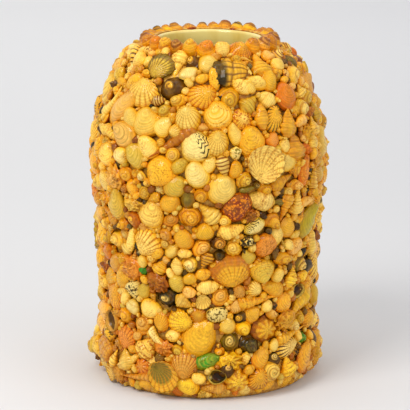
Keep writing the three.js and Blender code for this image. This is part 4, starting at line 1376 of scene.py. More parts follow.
    def add_read_shells(self) -> None:
        """Set the shells that the photograph shows, each where its pixel's ray meets the jar."""
        for shell in READ_SHELLS:
            height = shell.width * MM * KINDS[shell.form].height
            found = self.bed.hit(self.view, shell.x, shell.y, height * self.MIDDLE_HEIGHT)
            if found is None:
                LOG.warning("no wall behind %s", shell)
                continue
            arc, angle, distance = found
            size = distance / self.view.focal
            turn = math.radians(shell.turn)
            stretch = 1 / max(math.cos(angle), self.LEAST_COSINE)
            long_way = Vector((math.cos(turn) * stretch, math.sin(turn)))
            wide_way = Vector((-math.sin(turn) * stretch, math.cos(turn)))
            self.settle(
                shell.form, self.bed.seat(arc, angle),
                shell.length * size * long_way.length * self.READ_GROWTH,
                shell.width * size * wide_way.length * self.READ_GROWTH,
                math.atan2(long_way.y, long_way.x),
                (shell.hue, shell.mark, shell.second), self.READ_TAKEN,
                shell.width * size,
            )

    def fill(self, wanted: FillRound) -> None:
        """Fill free places with shells that fit them, thinner where the jar is narrow.

        Args:
            wanted: what the round sets.
        """
        for _ in range(wanted.tries):
            arc = self.random.uniform(self.FIRST_ARC, self.bed.length - self.EDGE_ROOM * wanted.least)
            seat = self.bed.seat(arc, self.random.uniform(-math.pi, math.pi))
            if self.random.random() * self.WIDEST > math.hypot(seat.point.x, seat.point.y):
                continue
            if seat.point.z > self.SHOULDER and wanted.least > self.SHOULDER_RADIUS:
                continue
            free = self.crowd.room(seat.point, wanted.most)
            if free < wanted.least:
                continue
            free *= 1 + wanted.overlap
            form = self._pick(wanted.forms)
            slender = self._slender(form)
            width = 2 * free / slender ** 0.5
            mark = self._pick(self.MARKS)
            if form in self.RIBBED:
                mark = self._pick(self.RIBBED_MARKS)
            turn = self.random.uniform(0, 2 * math.pi)
            looks = (self._pick(wanted.hues), mark, self._pick(self.MARK_HUES))
            self.settle(form, seat, width * slender, width, turn, looks, 1 / (1 + wanted.overlap))

    def cover(self) -> None:
        """Set every shell of the wall, the read ones first and then the fill, from large to small."""
        self.add_read_shells()
        for wanted in self.ROUNDS:
            self.fill(wanted)


@dataclass
class RimRing:
    """The shells that stand round the mouth."""

    jar: JarSizes
    lean: float = math.radians(32)
    clear: float = 1.8 * MM
    drop: float = 5.4 * MM
    dome: float = 1.22

    SWAY = 6
    TURN = 6.28
    BEAN_STAND = math.radians(70)
    BEAN_LIFT = 0.3
    BEAN_LENGTH = 1.2
    BEAN_DEPTH = 0.7

    def place(self) -> list[Placed]:
        """Set the shells round the rim, each leaning outwards.

        Returns:
            The placed shells.
        """
        chance = random.Random(SEED + 1)
        placed = []
        for shell in RIM_SHELLS:
            angle = math.radians(shell.angle)
            width = shell.width * (1.0 if shell.form is F.BEAN else self.dome) * MM
            radius = self.jar.mouth + self.clear + width / 2 * math.cos(self.lean)
            seat = Vector((math.sin(angle), -math.cos(angle), 0)) * radius
            seat.z = self.jar.height - self.drop
            lean = self.lean + math.radians(chance.uniform(-self.SWAY, self.SWAY))
            turned = Matrix.Rotation(angle, 3, "Z") @ Matrix.Rotation(lean, 3, "X")
            if shell.form is F.BEAN:
                turned = turned @ Matrix.Rotation(self.BEAN_STAND, 3, "X")
                seat.z += shell.height * self.BEAN_LIFT * MM
                size = Vector((
                    shell.width, shell.height * self.BEAN_LENGTH, shell.width * self.BEAN_DEPTH,
                )) * MM
            else:
                turned = turned @ Matrix.Rotation(chance.uniform(0, self.TURN), 3, "Z")
                size = Vector((width, width, shell.height * MM))
            placed.append(Placed(
                shell.form, 0, Matrix.Translation(seat) @ turned.to_4x4(), size,
                shell.hue, shell.mark, shell.second, chance.uniform(-1, 1),
            ))
        return placed


class NodeBuilder:
    """Short calls for laying nodes in a tree."""

    def __init__(self, tree: bpy.types.NodeTree) -> None:
        """Keep the tree.

        Args:
            tree: where the nodes go.
        """
        self.tree = tree

    def add(self, kind: str, inputs: Optional[dict] = None, **settings: object) -> bpy.types.Node:
        """Add a node.

        Args:
            kind: Blender's name of the node type.
            inputs: values or output sockets for its inputs, by name or number.
            settings: attributes of the node.

        Returns:
            The node.
        """
        node = self.tree.nodes.new(kind)
        for name, value in settings.items():
            setattr(node, name, value)
        for key, value in (inputs or {}).items():
            if isinstance(value, bpy.types.NodeSocket):
                self.tree.links.new(value, node.inputs[key])
            else:
                node.inputs[key].default_value = value
        return node

    def math(self, operation: str, *values: object) -> bpy.types.NodeSocket:
        """Add a maths node and give its result."""
        return self.add("ShaderNodeMath", dict(enumerate(values)), operation=operation).outputs[0]

    def mix(self, share: object, first: object, second: object, blend: str = "MIX") -> bpy.types.NodeSocket:
        """Mix two colours and give the result."""
        node = self.add("ShaderNodeMix", {0: share, 6: first, 7: second}, data_type="RGBA", blend_type=blend)
        return node.outputs[2]

    def ramp(self, value: object, low: float, high: float) -> bpy.types.NodeSocket:
        """Turn a span of values into 0 to 1, smoothly."""
        node = self.add("ShaderNodeMapRange", {0: value, 1: low, 2: high}, interpolation_type="SMOOTHSTEP")
        return node.outputs[0]

    def attribute(self, name: str, output: str = "Fac") -> bpy.types.NodeSocket:
        """Read an attribute of the mesh."""
        return self.add("ShaderNodeAttribute", attribute_name=name).outputs[output]

    def place(self) -> bpy.types.NodeSocket:
        """Object coordinates."""
        return self.add("ShaderNodeTexCoord").outputs["Object"]

    def noise(self, place: object, scale: float, detail: float) -> bpy.types.NodeSocket:
        """Noise, 0 to 1."""
        return self.add("ShaderNodeTexNoise", {"Vector": place, "Scale": scale, "Detail": detail}).outputs[0]

    def waves(self, value: object, number: float, shift: object) -> bpy.types.NodeSocket:
        """Sine of a value times a number, plus a shift."""
        return self.math("SINE", self.math("MULTIPLY_ADD", value, number, shift))

    def beneath(self, value: object, low: float, high: float) -> bpy.types.NodeSocket:
        """Turn a span of values into 1 to 0, smoothly."""
        return self.math("SUBTRACT", 1.0, self.ramp(value, low, high))

    # Tints flecks, and paints shade on the shells and on the paper.
    def tint_where(self, share: object, colour: object, tint: object) -> bpy.types.NodeSocket:
        """Multiply a colour by a tint where a mask says so."""
        return self.mix(share, colour, self.mix(1.0, colour, tint, "MULTIPLY"))

    def shade(self, colour: object, value: object) -> bpy.types.NodeSocket:
        """Multiply a colour by one value."""
        grey = self.add("ShaderNodeCombineColor", {0: value, 1: value, 2: value}).outputs[0]
        return self.mix(1.0, colour, grey, "MULTIPLY")


class Relief(NamedTuple):
    """Bump of a finish: its height, its strength and its depth in metres."""

    height: bpy.types.NodeSocket
    strength: float
    depth: float


class Reading(NamedTuple):
    """What the shells' finish reads from the mesh: its map, its attributes and two noises."""

    u: bpy.types.NodeSocket
    v: bpy.types.NodeSocket
    place: bpy.types.NodeSocket
    rise: bpy.types.NodeSocket
    groove: bpy.types.NodeSocket
    tone: bpy.types.NodeSocket
    fine: bpy.types.NodeSocket
    broad: bpy.types.NodeSocket


class Finishes:
    """Shader groups and materials of the jar."""

    # Painted shadow with pooled varnish: a thin dark line round each shell where it meets the bed.
    SEAT_VARNISH_AND_SHADOW = linear(170, 116, 40)
    # Painted shade with pooled varnish on the lowest part of each shell.
    RECESS_VARNISH_AND_SHADE = linear(226, 182, 50)
    # Brown of the patches, and painted shade with pooled varnish in furrows, seams, pits and under each
    # shell.
    STAIN_AND_FURROW_SHADE = linear(202, 152, 38)
    FLECK = linear(190, 128, 58)
    # Painted shade with pooled varnish down each shell's flanks.
    FLANK_VARNISH_AND_SHADE = linear(249, 222, 88)
    VARNISH = linear(255, 214, 130)
    PUTTY = (linear(186, 124, 32), linear(236, 184, 70))
    GLAZE = (linear(244, 224, 140), linear(230, 198, 98))
    # Painted light and shade on the paper: darker near by, lighter far away, darker to the right, in place of
    # the lamps' fall-off.
    PAPER_NEAR_PAINTED_SHADE = linear(222, 222, 223)
    PAPER_FAR_PAINTED_LIGHT = linear(250, 250, 251)
    PAPER_RIGHT_PAINTED_SHADE = linear(248, 248, 249)

    FINE_SCALE = 420.0
    BROAD_SCALE = 110.0
    FLECK_SCALE = 640.0
    RINGS = 38.0
    ZIGZAGS = 34.0
    TEETH = 9.0
    GROWTH_LINES = 66.0

    def __init__(self) -> None:
        """Build the group that the shells' materials share."""
        self.pattern = self._pattern_group()
        self.materials: dict[str, bpy.types.Material] = {}

    def _pattern_group(self) -> bpy.types.NodeTree:
        """Group that colours a shell from its attributes: tint, markings, and pooled varnish with painted
        shade in furrows and recesses.
        """
        tree = bpy.data.node_groups.new("shell_colour", "ShaderNodeTree")
        face = tree.interface
        face.new_socket("Patchiness", in_out="INPUT", socket_type="NodeSocketFloat").default_value = 0.3
        face.new_socket("Color", in_out="OUTPUT", socket_type="NodeSocketColor")
        face.new_socket("Height", in_out="OUTPUT", socket_type="NodeSocketFloat")
        nodes = NodeBuilder(tree)
        patchiness = nodes.add("NodeGroupInput").outputs[0]
        uv = nodes.add("ShaderNodeSeparateXYZ", {0: nodes.add("ShaderNodeUVMap", uv_map="UVMap").outputs[0]})
        place = nodes.place()
        shell = Reading(
            uv.outputs[0], uv.outputs[1], place,
            nodes.attribute("rise"), nodes.attribute("groove"), nodes.attribute("tone"),
            nodes.noise(place, self.FINE_SCALE, 3.0), nodes.noise(place, self.BROAD_SCALE, 2.0),
        )
        wobble = nodes.math("MULTIPLY", shell.broad, 2.2)
        marks = self._markings(nodes, shell, wobble)
        colour = nodes.mix(marks, nodes.attribute("tint", "Color"), nodes.attribute("second", "Color"))
        colour = self._weathered(nodes, shell, colour, patchiness)
        colour = self._pooled_varnish_and_painted_shade(nodes, shell, colour)
        lines = nodes.waves(shell.v, self.GROWTH_LINES, wobble)
        colour = nodes.shade(colour, nodes.math("MULTIPLY_ADD", nodes.ramp(lines, -0.2, 0.9), 0.16, 0.92))
        output = nodes.add("NodeGroupOutput")
        tree.links.new(colour, output.inputs[0])
        tree.links.new(nodes.math("MULTIPLY_ADD", lines, 0.25, shell.fine), output.inputs[1])
        return tree

    def _markings(
        self, nodes: NodeBuilder, shell: Reading, wobble: bpy.types.NodeSocket,
    ) -> bpy.types.NodeSocket:
        """Mask of the second colour: rays in the furrows, rings, spots, zigzags, and the tip or the margin.

        Args:
            nodes: where the nodes go.
            shell: what the finish reads.
            wobble: how the rings waver.

        Returns:
            The mask.
        """
        marks = nodes.add("ShaderNodeAttribute", attribute_name="marks")
        wanted = nodes.add("ShaderNodeSeparateColor", {0: marks.outputs["Color"]}).outputs
        rays = nodes.math("MULTIPLY", nodes.ramp(shell.groove, 0.1, 0.6), nodes.ramp(shell.v, 0.3, 0.6))
        rays = nodes.math("MULTIPLY", rays, wanted[0])
        rings = nodes.ramp(nodes.waves(shell.v, self.RINGS, wobble), 0.0, 0.6)
        rings = nodes.math("MULTIPLY", rings, wanted[1])
        spots = nodes.math("MULTIPLY", nodes.ramp(shell.fine, 0.5, 0.6), wanted[2])
        tooth = nodes.math("PINGPONG", nodes.math("MULTIPLY", shell.u, self.TEETH), 0.5)
        zigzag = nodes.waves(shell.v, self.ZIGZAGS, nodes.math("MULTIPLY", tooth, 9.0))
        zigzag = nodes.ramp(nodes.math("MULTIPLY_ADD", shell.broad, 1.4, zigzag), 1.0, 1.25)
        one_side = nodes.ramp(nodes.waves(shell.u, 2 * math.pi, 2.4), -0.1, 0.3)
        zigzag = nodes.math("MULTIPLY", nodes.math("MULTIPLY", zigzag, one_side), marks.outputs["Alpha"])
        reach = nodes.attribute("tip")
        limit = nodes.math("MULTIPLY_ADD", shell.broad, 0.2, nodes.math("ABSOLUTE", reach))
        edge = nodes.math("MULTIPLY", nodes.math("SUBTRACT", limit, shell.v), nodes.math("SIGN", reach))
        on_ribs = nodes.math("MULTIPLY_ADD", shell.groove, -0.9, 1.0)
        mask = nodes.math("MULTIPLY", nodes.ramp(edge, -0.01, 0.14), on_ribs)
        for other in (rays, rings, spots, zigzag):
            mask = nodes.math("MAXIMUM", mask, other)
        return mask

    def _weathered(
        self, nodes: NodeBuilder, shell: Reading, colour: bpy.types.NodeSocket,
        patchiness: bpy.types.NodeSocket,
    ) -> bpy.types.NodeSocket:
        """Add brown patches, flecks, grain and each shell's own tone.

        Args:
            nodes: where the nodes go.
            shell: what the finish reads.
            colour: the shell's colour with its markings.
            patchiness: how strong the patches are.

        Returns:
            The weathered colour.
        """
        patch = nodes.math("MULTIPLY", nodes.ramp(shell.broad, 0.42, 0.68), patchiness)
        colour = nodes.mix(patch, colour, nodes.mix(0.75, colour, self.STAIN_AND_FURROW_SHADE))
        sharp = nodes.noise(shell.place, self.FLECK_SCALE, 4.0)
        fleck = nodes.math("MULTIPLY", nodes.ramp(sharp, 0.52, 0.6), nodes.ramp(shell.tone, -0.9, 0.8))
        fleck = nodes.math("MULTIPLY", fleck, nodes.ramp(shell.broad, 0.38, 0.6))
        colour = nodes.tint_where(nodes.math("MULTIPLY", fleck, 0.65), colour, self.FLECK)
        grain = nodes.math("MULTIPLY_ADD", shell.fine, 0.5, 0.77)
        return nodes.shade(colour, nodes.math("MULTIPLY_ADD", shell.tone, 0.1, grain))

    def _pooled_varnish_and_painted_shade(
        self, nodes: NodeBuilder, shell: Reading, colour: bpy.types.NodeSocket,
    ) -> bpy.types.NodeSocket:
        """Let varnish gather in the furrows, down the flanks and round the seat, with painted shade there:
        the lower a point lies on its shell, the darker.

        Args:
            nodes: where the nodes go.
            shell: what the finish reads.
            colour: the weathered colour.

        Returns:
            The varnished colour with painted shade.
        """
        # Painted shade with pooled varnish in the furrows, seams and pits.
        colour = nodes.tint_where(nodes.math("MULTIPLY", shell.groove, 0.75), colour, self.STAIN_AND_FURROW_SHADE)
        # Painted shade with pooled varnish: darker down the flanks, in the recesses and round the seat of
        # each shell.
        for low, high, tint in ((0.3, 1.0, self.FLANK_VARNISH_AND_SHADE), (0.0, 0.35, self.RECESS_VARNISH_AND_SHADE), (0.04, 0.14, self.SEAT_VARNISH_AND_SHADOW)):
            colour = nodes.tint_where(nodes.beneath(shell.rise, low, high), colour, tint)
        return colour

    def shell(self, slot: str) -> bpy.types.Material:
        """Varnished shell for a slot.

        Args:
            slot: the slot's name.

        Returns:
            The material.
        """
        if slot not in self.materials:
            material, nodes = self._start("varnished_" + slot)
            group = nodes.add("ShaderNodeGroup", node_tree=self.pattern)
            self._dress(nodes, group.outputs[0], Relief(group.outputs[1], 0.6, 0.4 * MM), {
                "Roughness": 0.5, "Specular IOR Level": 0.25, "Specular Tint": self.VARNISH,
                "Coat Weight": 0.34, "Coat Roughness": 0.08,
            })
            self.materials[slot] = material
        return self.materials[slot]

    def putty(self) -> bpy.types.Material:
        """Amber putty under pooled varnish."""
        material, nodes = self._start("varnished_putty")
        noise = nodes.noise(nodes.place(), 260.0, 4.0)
        colour = nodes.mix(nodes.ramp(noise, 0.35, 0.7), *self.PUTTY)
        self._dress(nodes, colour, Relief(noise, 0.6, 1 * MM), {
            "Roughness": 0.5, "Specular IOR Level": 0.25, "Coat Weight": 0.2, "Coat Roughness": 0.2,
        })
        return material

    def glaze(self) -> bpy.types.Material:
        """Pale yellow-olive glaze of the jar, glossy, with faint upright streaks."""
        material, nodes = self._start("jar_glaze")
        stretched = nodes.add("ShaderNodeMapping", {0: nodes.place(), 3: (1.0, 1.0, 0.25)}).outputs[0]
        noise = nodes.noise(stretched, 60.0, 3.0)
        colour = nodes.mix(nodes.ramp(noise, 0.3, 0.75), *self.GLAZE)
        self._dress(nodes, colour, Relief(noise, 0.15, 1 * MM), {
            "Roughness": 0.16, "Coat Weight": 0.4,
        })
        return material

    def paper(self) -> bpy.types.Material:
        """Matt pale grey of the studio floor and wall, with painted light far away and painted shade near by
        and to the right.
        """
        material, nodes = self._start("studio_paper")
        across, away, _ = nodes.add("ShaderNodeSeparateXYZ", {0: nodes.place()}).outputs
        # Painted light far away and painted shade near by and to the right.
        colour = nodes.mix(nodes.ramp(away, 0.3, 2.3), self.PAPER_NEAR_PAINTED_SHADE, self.PAPER_FAR_PAINTED_LIGHT)
        colour = nodes.tint_where(nodes.ramp(across, -0.25, 0.45), colour, self.PAPER_RIGHT_PAINTED_SHADE)
        self._dress(nodes, colour, None, {"Roughness": 0.9, "Specular IOR Level": 0.1})
        return material

    @staticmethod
    def _start(name: str) -> tuple[bpy.types.Material, NodeBuilder]:
        """Start a material and give it with a builder for its nodes."""
        material = bpy.data.materials.new(name)
        material.use_nodes = True
        return material, NodeBuilder(material.node_tree)

    @staticmethod
    def _dress(
        nodes: NodeBuilder, colour: bpy.types.NodeSocket, relief: Optional[Relief], values: dict[str, object],
    ) -> None:
        """Lead a colour and a relief to the main shader, and set its plain values.

        Args:
            nodes: the material's nodes.
            colour: its colour.
            relief: its bump, if it has one.
            values: plain values by the name of the shader's socket.
        """
        shader = nodes.tree.nodes["Principled BSDF"]
        nodes.tree.links.new(colour, shader.inputs["Base Color"])
        if relief:
            bump = nodes.add("ShaderNodeBump", {
                "Height": relief.height, "Strength": relief.strength, "Distance": relief.depth,
            })
            nodes.tree.links.new(bump.outputs[0], shader.inputs["Normal"])
        for name, value in values.items():
            shader.inputs[name].default_value = value


def new_object(name: str, mesh: bpy.types.Mesh) -> bpy.types.Object:
    """Link a mesh to the scene under a name."""
    piece = bpy.data.objects.new(name, mesh)
    bpy.context.scene.collection.objects.link(piece)
    return piece


def smooth_mesh(name: str, points: Sequence, faces: Sequence) -> bpy.types.Mesh:
    """Make a smooth-shaded mesh of points and faces."""
    mesh = bpy.data.meshes.new(name)
    mesh.from_pydata(points, [], faces)
    mesh.polygons.foreach_set("use_smooth", [True] * len(mesh.polygons))
    mesh.update()
    return mesh


def ring_points(radius: float, height: float, sides: int) -> list[tuple[float, float, float]]:
    """Points of a level ring round the axis, counter-clockwise from the front."""
    around = (2 * math.pi * i / sides for i in range(sides))
    return [(radius * math.sin(a), -radius * math.cos(a), height) for a in around]


def ring_faces(low: int, high: int, sides: int) -> list[tuple[int, ...]]:
    """Faces between two rings, given the number of the first point of each."""
    pairs = ((i, (i + 1) % sides) for i in range(sides))
    return [(low + i, low + after, high + after, high + i) for i, after in pairs]


def surface_mesh(name: str, surface: Surface) -> bpy.types.Mesh:
    """Turn a surface into a mesh with its UV map and attributes.

    Args:
        name: the mesh's name.
        surface: the surface.

    Returns:
        The mesh.
    """
    mesh = smooth_mesh(name, [tuple(point) for point in surface.points], surface.faces)
    layer = mesh.uv_layers.new(name="UVMap")
    layer.data.foreach_set("uv", [value for pair in surface.uv for value in pair])
    for label, values in (("rise", surface.rise), ("groove", surface.groove)):
        attribute = mesh.attributes.new(label, "FLOAT", "POINT")
        attribute.data.foreach_set("value", values.astype(np.float32))
    return mesh


class ShellPiece:
    """All shells of one kind as one piece, laid by a node tree on one point for each shell."""

    UNEVENNESS = 4 * MM
    UNEVEN_SCALE = 75.0
    SOCKETS = (
        ("Points", "Geometry"), ("Shell scale", "Float"), ("Finish", "Material"), ("Unevenness", "Float"),
    )

    def __init__(self, name: str, material: bpy.types.Material) -> None:
        """Keep what every shell of the piece shares.

        Args:
            name: the piece's name.
            material: its finish.
        """
        self.name = name
        self.material = material

    def build(self, placed: Sequence[Placed]) -> bpy.types.Object:
        """Lay the shells.

        Args:
            placed: the shells.

        Returns:
            The piece, a plain mesh.
        """
        shapes = sorted({(shell.form.name, shell.variant) for shell in placed})
        prototypes = [
            new_object(f"shape_{form}_{variant}",
                       surface_mesh(f"shape_{form}_{variant}", KINDS[Form[form]].forms[variant].build()))
            for form, variant in shapes
        ]
        points = new_object(self.name + "_points", self._points(placed, shapes))
        modifier = points.modifiers.new("shells", "NODES")
        modifier.node_group = self._tree(prototypes)
        sockets = {item.name: item.identifier for item in modifier.node_group.interface.items_tree}
        modifier[sockets["Shell scale"]] = 1.0
        modifier[sockets["Finish"]] = self.material
        modifier[sockets["Unevenness"]] = self.UNEVENNESS
        graph = bpy.context.evaluated_depsgraph_get()
        mesh = bpy.data.meshes.new_from_object(points.evaluated_get(graph), depsgraph=graph)
        mesh.name = self.name
        for helper in (points, *prototypes):
            bpy.data.objects.remove(helper)
        return new_object(self.name, mesh)

    def _points(self, placed: Sequence[Placed], shapes: list[tuple[str, int]]) -> bpy.types.Mesh:
        """One point for each shell, with its turn, size and looks as attributes."""
        mesh = bpy.data.meshes.new(self.name + "_points")
        mesh.from_pydata([shell.matrix.to_translation() for shell in placed], [], [])
        attributes = (
            ("facing", "FLOAT_VECTOR", "vector", [tuple(shell.matrix.to_euler()) for shell in placed]),
            ("size", "FLOAT_VECTOR", "vector", [tuple(shell.size) for shell in placed]),
            ("tint", "FLOAT_COLOR", "color", [linear(*shell.hue.value) for shell in placed]),
            ("second", "FLOAT_COLOR", "color", [linear(*shell.second.value) for shell in placed]),
            ("marks", "FLOAT_COLOR", "color", [shell.mark.value[:4] for shell in placed]),
            ("tone", "FLOAT", "value", [shell.tone for shell in placed]),
            ("tip", "FLOAT", "value", [shell.mark.value[4] for shell in placed]),
            ("shape", "INT", "value", [shapes.index((shell.form.name, shell.variant)) for shell in placed]),
        )
        for label, kind, field, values in attributes:
            numbers = np.ravel(values).tolist()
            mesh.attributes.new(label, kind, "POINT").data.foreach_set(field, numbers)
        return mesh

    def _tree(self, prototypes: Sequence[bpy.types.Object]) -> bpy.types.NodeTree:
        """Node tree that sets a shape on each point by its number, and makes the result real."""
        tree = bpy.data.node_groups.new("lay_" + self.name, "GeometryNodeTree")
        for label, kind in self.SOCKETS:
            tree.interface.new_socket(label, in_out="INPUT", socket_type="NodeSocket" + kind)
        tree.interface.new_socket("Shells", in_out="OUTPUT", socket_type="NodeSocketGeometry")
        nodes = NodeBuilder(tree)
        inputs = nodes.add("NodeGroupInput").outputs

        def named(label: str, data_type: str) -> bpy.types.NodeSocket:
            """Read an attribute of the points."""
            node = nodes.add("GeometryNodeInputNamedAttribute", data_type=data_type)
            node.inputs["Name"].default_value = label
            return node.outputs["Attribute"]

        facing = nodes.add("FunctionNodeEulerToRotation", {0: named("facing", "FLOAT_VECTOR")}).outputs[0]
        size = nodes.add("ShaderNodeVectorMath", {0: named("size", "FLOAT_VECTOR"), "Scale": inputs[1]},
                         operation="SCALE").outputs[0]
        join = nodes.add("GeometryNodeJoinGeometry")
        for number, prototype in enumerate(prototypes):
            chosen = nodes.add("FunctionNodeCompare", data_type="INT", operation="EQUAL")
            tree.links.new(named("shape", "INT"), chosen.inputs[2])
            chosen.inputs[3].default_value = number
            shape = nodes.add("GeometryNodeObjectInfo")
            shape.inputs["Object"].default_value = prototype
            laid = nodes.add("GeometryNodeInstanceOnPoints", {
                "Points": inputs[0], "Selection": chosen.outputs[0],
                "Instance": shape.outputs["Geometry"], "Rotation": facing, "Scale": size,
            })
            tree.links.new(laid.outputs[0], join.inputs[0])
        real = nodes.add("GeometryNodeRealizeInstances", {0: join.outputs[0]})
        noise = nodes.add("ShaderNodeTexNoise", {"Scale": self.UNEVEN_SCALE, "Detail": 1.0})
        middled = nodes.add("ShaderNodeVectorMath", {0: noise.outputs["Color"], 1: (-0.5, -0.5, -0.5)},
                            operation="ADD")
        push = nodes.add("ShaderNodeVectorMath", {0: middled.outputs[0], "Scale": inputs[3]},
                         operation="SCALE")
        uneven = nodes.add("GeometryNodeSetPosition", {
            "Geometry": real.outputs[0], "Offset": push.outputs[0],
        })
        dressed = nodes.add("GeometryNodeSetMaterial", {0: uneven.outputs[0], "Material": inputs[2]})
        output = nodes.add("NodeGroupOutput")
        tree.links.new(dressed.outputs[0], output.inputs[0])
        return tree


def turned_mesh(name: str, profile: Sequence[tuple[float, float]], sides: int) -> bpy.types.Mesh:
    """Turn a profile that starts and ends on the axis.

    Args:
        name: the mesh's name.
        profile: radius and height of each point, from the foot up and back in.
        sides: steps round.

    Returns:
        A closed smooth mesh.
    """
    inner = profile[1:-1]
    points = [(0.0, 0.0, profile[0][1])]
    for radius, height in inner:
        points += ring_points(radius, height, sides)
    points.append((0.0, 0.0, profile[-1][1]))
    faces: list[tuple[int, ...]] = []
    last = len(points) - 1
    for i in range(sides):
        after = (i + 1) % sides
        faces.append((0, 1 + after, 1 + i))
        for ring in range(len(inner) - 1):
            low, high = 1 + ring * sides, 1 + (ring + 1) * sides
            faces.append((low + i, low + after, high + after, high + i))
        base = 1 + (len(inner) - 1) * sides
        faces.append((base + i, base + after, last))
    return smooth_mesh(name, points, faces)


@dataclass
class Jar:
    """The hollow jar: foot, wall, shoulder, neck and a rounded lip."""

    sizes: JarSizes
    sides: int = 96
    arc_steps: int = 10

    def _arc(self, middle: tuple[float, float], reach: tuple[float, float], start: float, end: float,
             ) -> list[tuple[float, float]]:
        """Points of an oval arc in the profile, between two angles in degrees."""
        steps = np.radians(np.linspace(start, end, self.arc_steps))
        return [(middle[0] + reach[0] * math.cos(a), middle[1] + reach[1] * math.sin(a)) for a in steps]

    def build(self, finishes: Finishes) -> bpy.types.Object:
        """Make the jar.

        Args:
            finishes: the materials.

        Returns:
            The piece.
        """
        s = self.sizes
        reach = s.radius - s.neck
        lip = s.wall / 2
        profile = [(0.0, 0.0)]
        profile += self._arc((s.radius - s.foot_round, s.foot_round), (s.foot_round,) * 2, -90, 0)
        profile += self._arc((s.neck, s.body_top), (reach, s.shoulder_rise), 0, 90)
        profile += self._arc((s.neck - lip, s.height - lip), (lip, lip), 0, 180)
        profile += self._arc((s.mouth, s.body_top - s.wall), (reach, s.shoulder_rise), 90, 0)
        profile += self._arc((s.radius - s.wall - s.foot_round, s.floor + s.foot_round),
                             (s.foot_round,) * 2, 0, -90)
        profile.append((0.0, s.floor))
        piece = new_object("glazed_jar", turned_mesh("glazed_jar", profile, self.sides))
        piece.data.materials.append(finishes.glaze())
        return piece


@dataclass
class PuttyBed:
    """The putty between the shells, lumpy all over."""

    bed: Bed
    jar: JarSizes
    sides: int = 220
    rows: int = 110
    lump: float = 1.2 * MM
    under: float = 0.3 * MM
    depth: float = 2.2 * MM

    COLLAR = ((4.5, -3.0), (5.0, -0.5), (3.0, 1.2), (0.6, 1.4), (-1.8, 1.0), (-2.2, 0.3), (0.3, 0.1))
    EDGE_FADE = 4

    def build(self, finishes: Finishes) -> bpy.types.Object:
        """Make the bed.

        Args:
            finishes: the materials.

        Returns:
            The piece.
        """
        points: list[tuple[float, float, float]] = []
        for row in range(self.rows + 1):
            arc = self.bed.length * row / self.rows
            edge = min(1.0, self.EDGE_FADE * row / self.rows, self.EDGE_FADE * (1 - row / self.rows))
            for i in range(self.sides):
                angle = 2 * math.pi * i / self.sides
                seat = self.bed.seat(arc, angle)
                wave = math.sin(17 * angle + 61 * arc / self.bed.length)
                wave += math.sin(41 * angle - 97 * arc / self.bed.length) * 0.7
                push = self.lump * 0.5 * wave * edge - self.depth * edge
                points.append(tuple(seat.point + seat.normal * push))
        rings = [row * self.sides for row in range(self.rows)] + self._inner_rings(points)
        faces: list[tuple[int, ...]] = []
        for low, high in zip(rings, rings[1:]):
            faces += ring_faces(low, high, self.sides)
        piece = new_object("putty_bed", smooth_mesh("putty_bed", points, faces))
        piece.data.materials.append(finishes.putty())
        return piece

    def _inner_rings(self, points: list[tuple[float, float, float]]) -> list[int]:
        """Add the rings that lie on the jar, from the neck down to the foot.

        Args:
            points: the points so far; the new ones are added.

        Returns:
            Number of the first point of each ring, from the bed's top row round to its first.
        """
        j = self.jar
        reach = j.radius - j.neck
        profile = [(j.neck + radius * MM, j.height + height * MM) for radius, height in self.COLLAR]
        profile.append((j.neck + self.under, self.bed.curve[-1, 1] - 0.5 * MM))
        for degrees in (90, 60, 30, 0):
            a = math.radians(degrees)
            profile.append((j.neck + reach * math.cos(a) + self.under,
                            j.body_top + j.shoulder_rise * math.sin(a) + self.under))
        profile.append((j.radius + self.under, j.foot_round))
        profile.append((j.radius - j.foot_round * 0.3 + self.under, 0.0))
        rings = [self.rows * self.sides]
        for radius, height in profile:
            rings.append(len(points))
            points += ring_points(radius, height, self.sides)
        return rings + [0]


@dataclass(frozen=True)
class SoftLight:
    """One large studio light aimed at the jar."""

    name: str
    place: tuple[float, float, float]
    size: float
    power: float
    colour: tuple[float, float, float] = (1.0, 1.0, 1.0)

    def add(self, aim: Vector) -> None:
        """Hang the light.

        Args:
            aim: the point it looks at.
        """
        data = bpy.data.lights.new(self.name, "AREA")
        data.size = self.size
        data.energy = self.power
        data.color = self.colour
        light = bpy.data.objects.new(self.name, data)
        light.location = self.place
        light.rotation_euler = (aim - Vector(self.place)).to_track_quat("-Z", "Y").to_euler()
        bpy.context.scene.collection.objects.link(light)


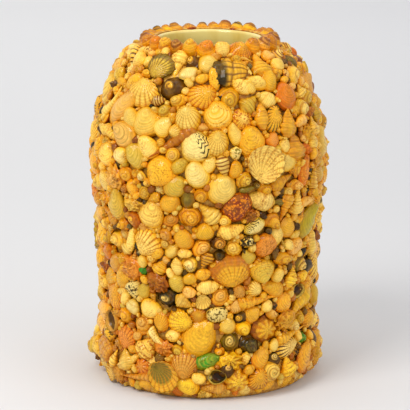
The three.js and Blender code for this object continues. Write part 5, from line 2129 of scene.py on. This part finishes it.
class Studio:
    """Floor, backdrop, lights and daylight all round."""

    LIGHTS = (
        SoftLight("key", (-1.1, -1.3, 1.9), 1.0, 29.5, (1.0, 0.98, 0.95)),
        SoftLight("fill", (1.6, -1.2, 1.1), 1.6, 9.0),
        SoftLight("top", (0.0, 0.2, 2.2), 1.4, 8.0),
    )
    FLOOR_DROP = 0.2 * MM
    FLOOR_HALF = 4.5
    WALL_START = 2.4
    WALL_HEIGHT = 4.0
    BEND_STEPS = 13
    AIM_HEIGHT = 0.16
    SKY = 0.67

    def build(self, finishes: Finishes) -> None:
        """Make the floor and the lights.

        Args:
            finishes: the materials.
        """
        bend = np.radians(np.linspace(0, 90, self.BEND_STEPS))[1:]
        outline = [(-self.FLOOR_HALF, 0.0), (self.WALL_START, 0.0)]
        outline += [(self.WALL_START + math.sin(a), 1 - math.cos(a)) for a in bend]
        outline.append((self.WALL_START + 1, self.WALL_HEIGHT))
        sides = (-self.FLOOR_HALF, self.FLOOR_HALF)
        points = [(side, y, z - self.FLOOR_DROP) for y, z in outline for side in sides]
        faces = [(2 * i, 2 * i + 1, 2 * i + 3, 2 * i + 2) for i in range(len(outline) - 1)]
        floor = new_object("studio_floor", smooth_mesh("studio_floor", points, faces))
        floor.data.materials.append(finishes.paper())
        aim = Vector((0, 0, self.AIM_HEIGHT))
        for light in self.LIGHTS:
            light.add(aim)
        world = bpy.data.worlds.new("soft_daylight")
        world.use_nodes = True
        sky = world.node_tree.nodes["Background"]
        sky.inputs["Color"].default_value = (1.0, 1.0, 1.0, 1.0)
        sky.inputs["Strength"].default_value = self.SKY
        bpy.context.scene.world = world
        bpy.context.scene.view_settings.view_transform = "Standard"


def nodes_named(names: Iterable[str], start: str) -> list[str]:
    """Names of the frame's solids that start with a word and a number."""
    return sorted(name for name in names if name.rsplit("_", 1)[0] == start)


def attach(piece: bpy.types.Object, replaced: Sequence[str]) -> None:
    """Give a piece its body and the solids it stands for.

    Args:
        piece: the piece.
        replaced: names of the solids.
    """
    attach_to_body(piece, BODY)
    if replaced:
        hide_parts(*replaced)
    LOG.info("%s: %d faces", piece.name, len(piece.data.polygons))


def main() -> None:
    """Build the jar and everything on it, then the studio."""
    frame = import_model()
    view = PhotoView()
    view.add_camera()
    finishes = Finishes()
    jar = JarSizes()
    bed = Bed(jar)
    names = list(frame["nodes"])

    attach(Jar(jar).build(finishes), ["jar"])
    attach(PuttyBed(bed, jar).build(finishes), ["shell_crust"])

    layer = ShellLayer(bed, view)
    layer.cover()
    LOG.info("%d shells on the wall", len(layer.placed))
    shared = {F.MUREX: ["murex_1"], F.TURRET: ["turret_1", "auger_1"]}
    for form, kind in KINDS.items():
        mine = [shell for shell in layer.placed if shell.form is form]
        piece = ShellPiece(form.value, finishes.shell(kind.slot)).build(mine)
        replaced = shared.get(form, nodes_named(names, kind.nodes) if kind.nodes else [])
        attach(piece, replaced)

    rim = ShellPiece("rim_shells", finishes.shell("shell_rim")).build(RimRing(jar).place())
    attach(rim, nodes_named(names, "rim_shell"))

    Studio().build(finishes)


if __name__ == "__main__":
    logging.basicConfig(level=logging.INFO)
    main()
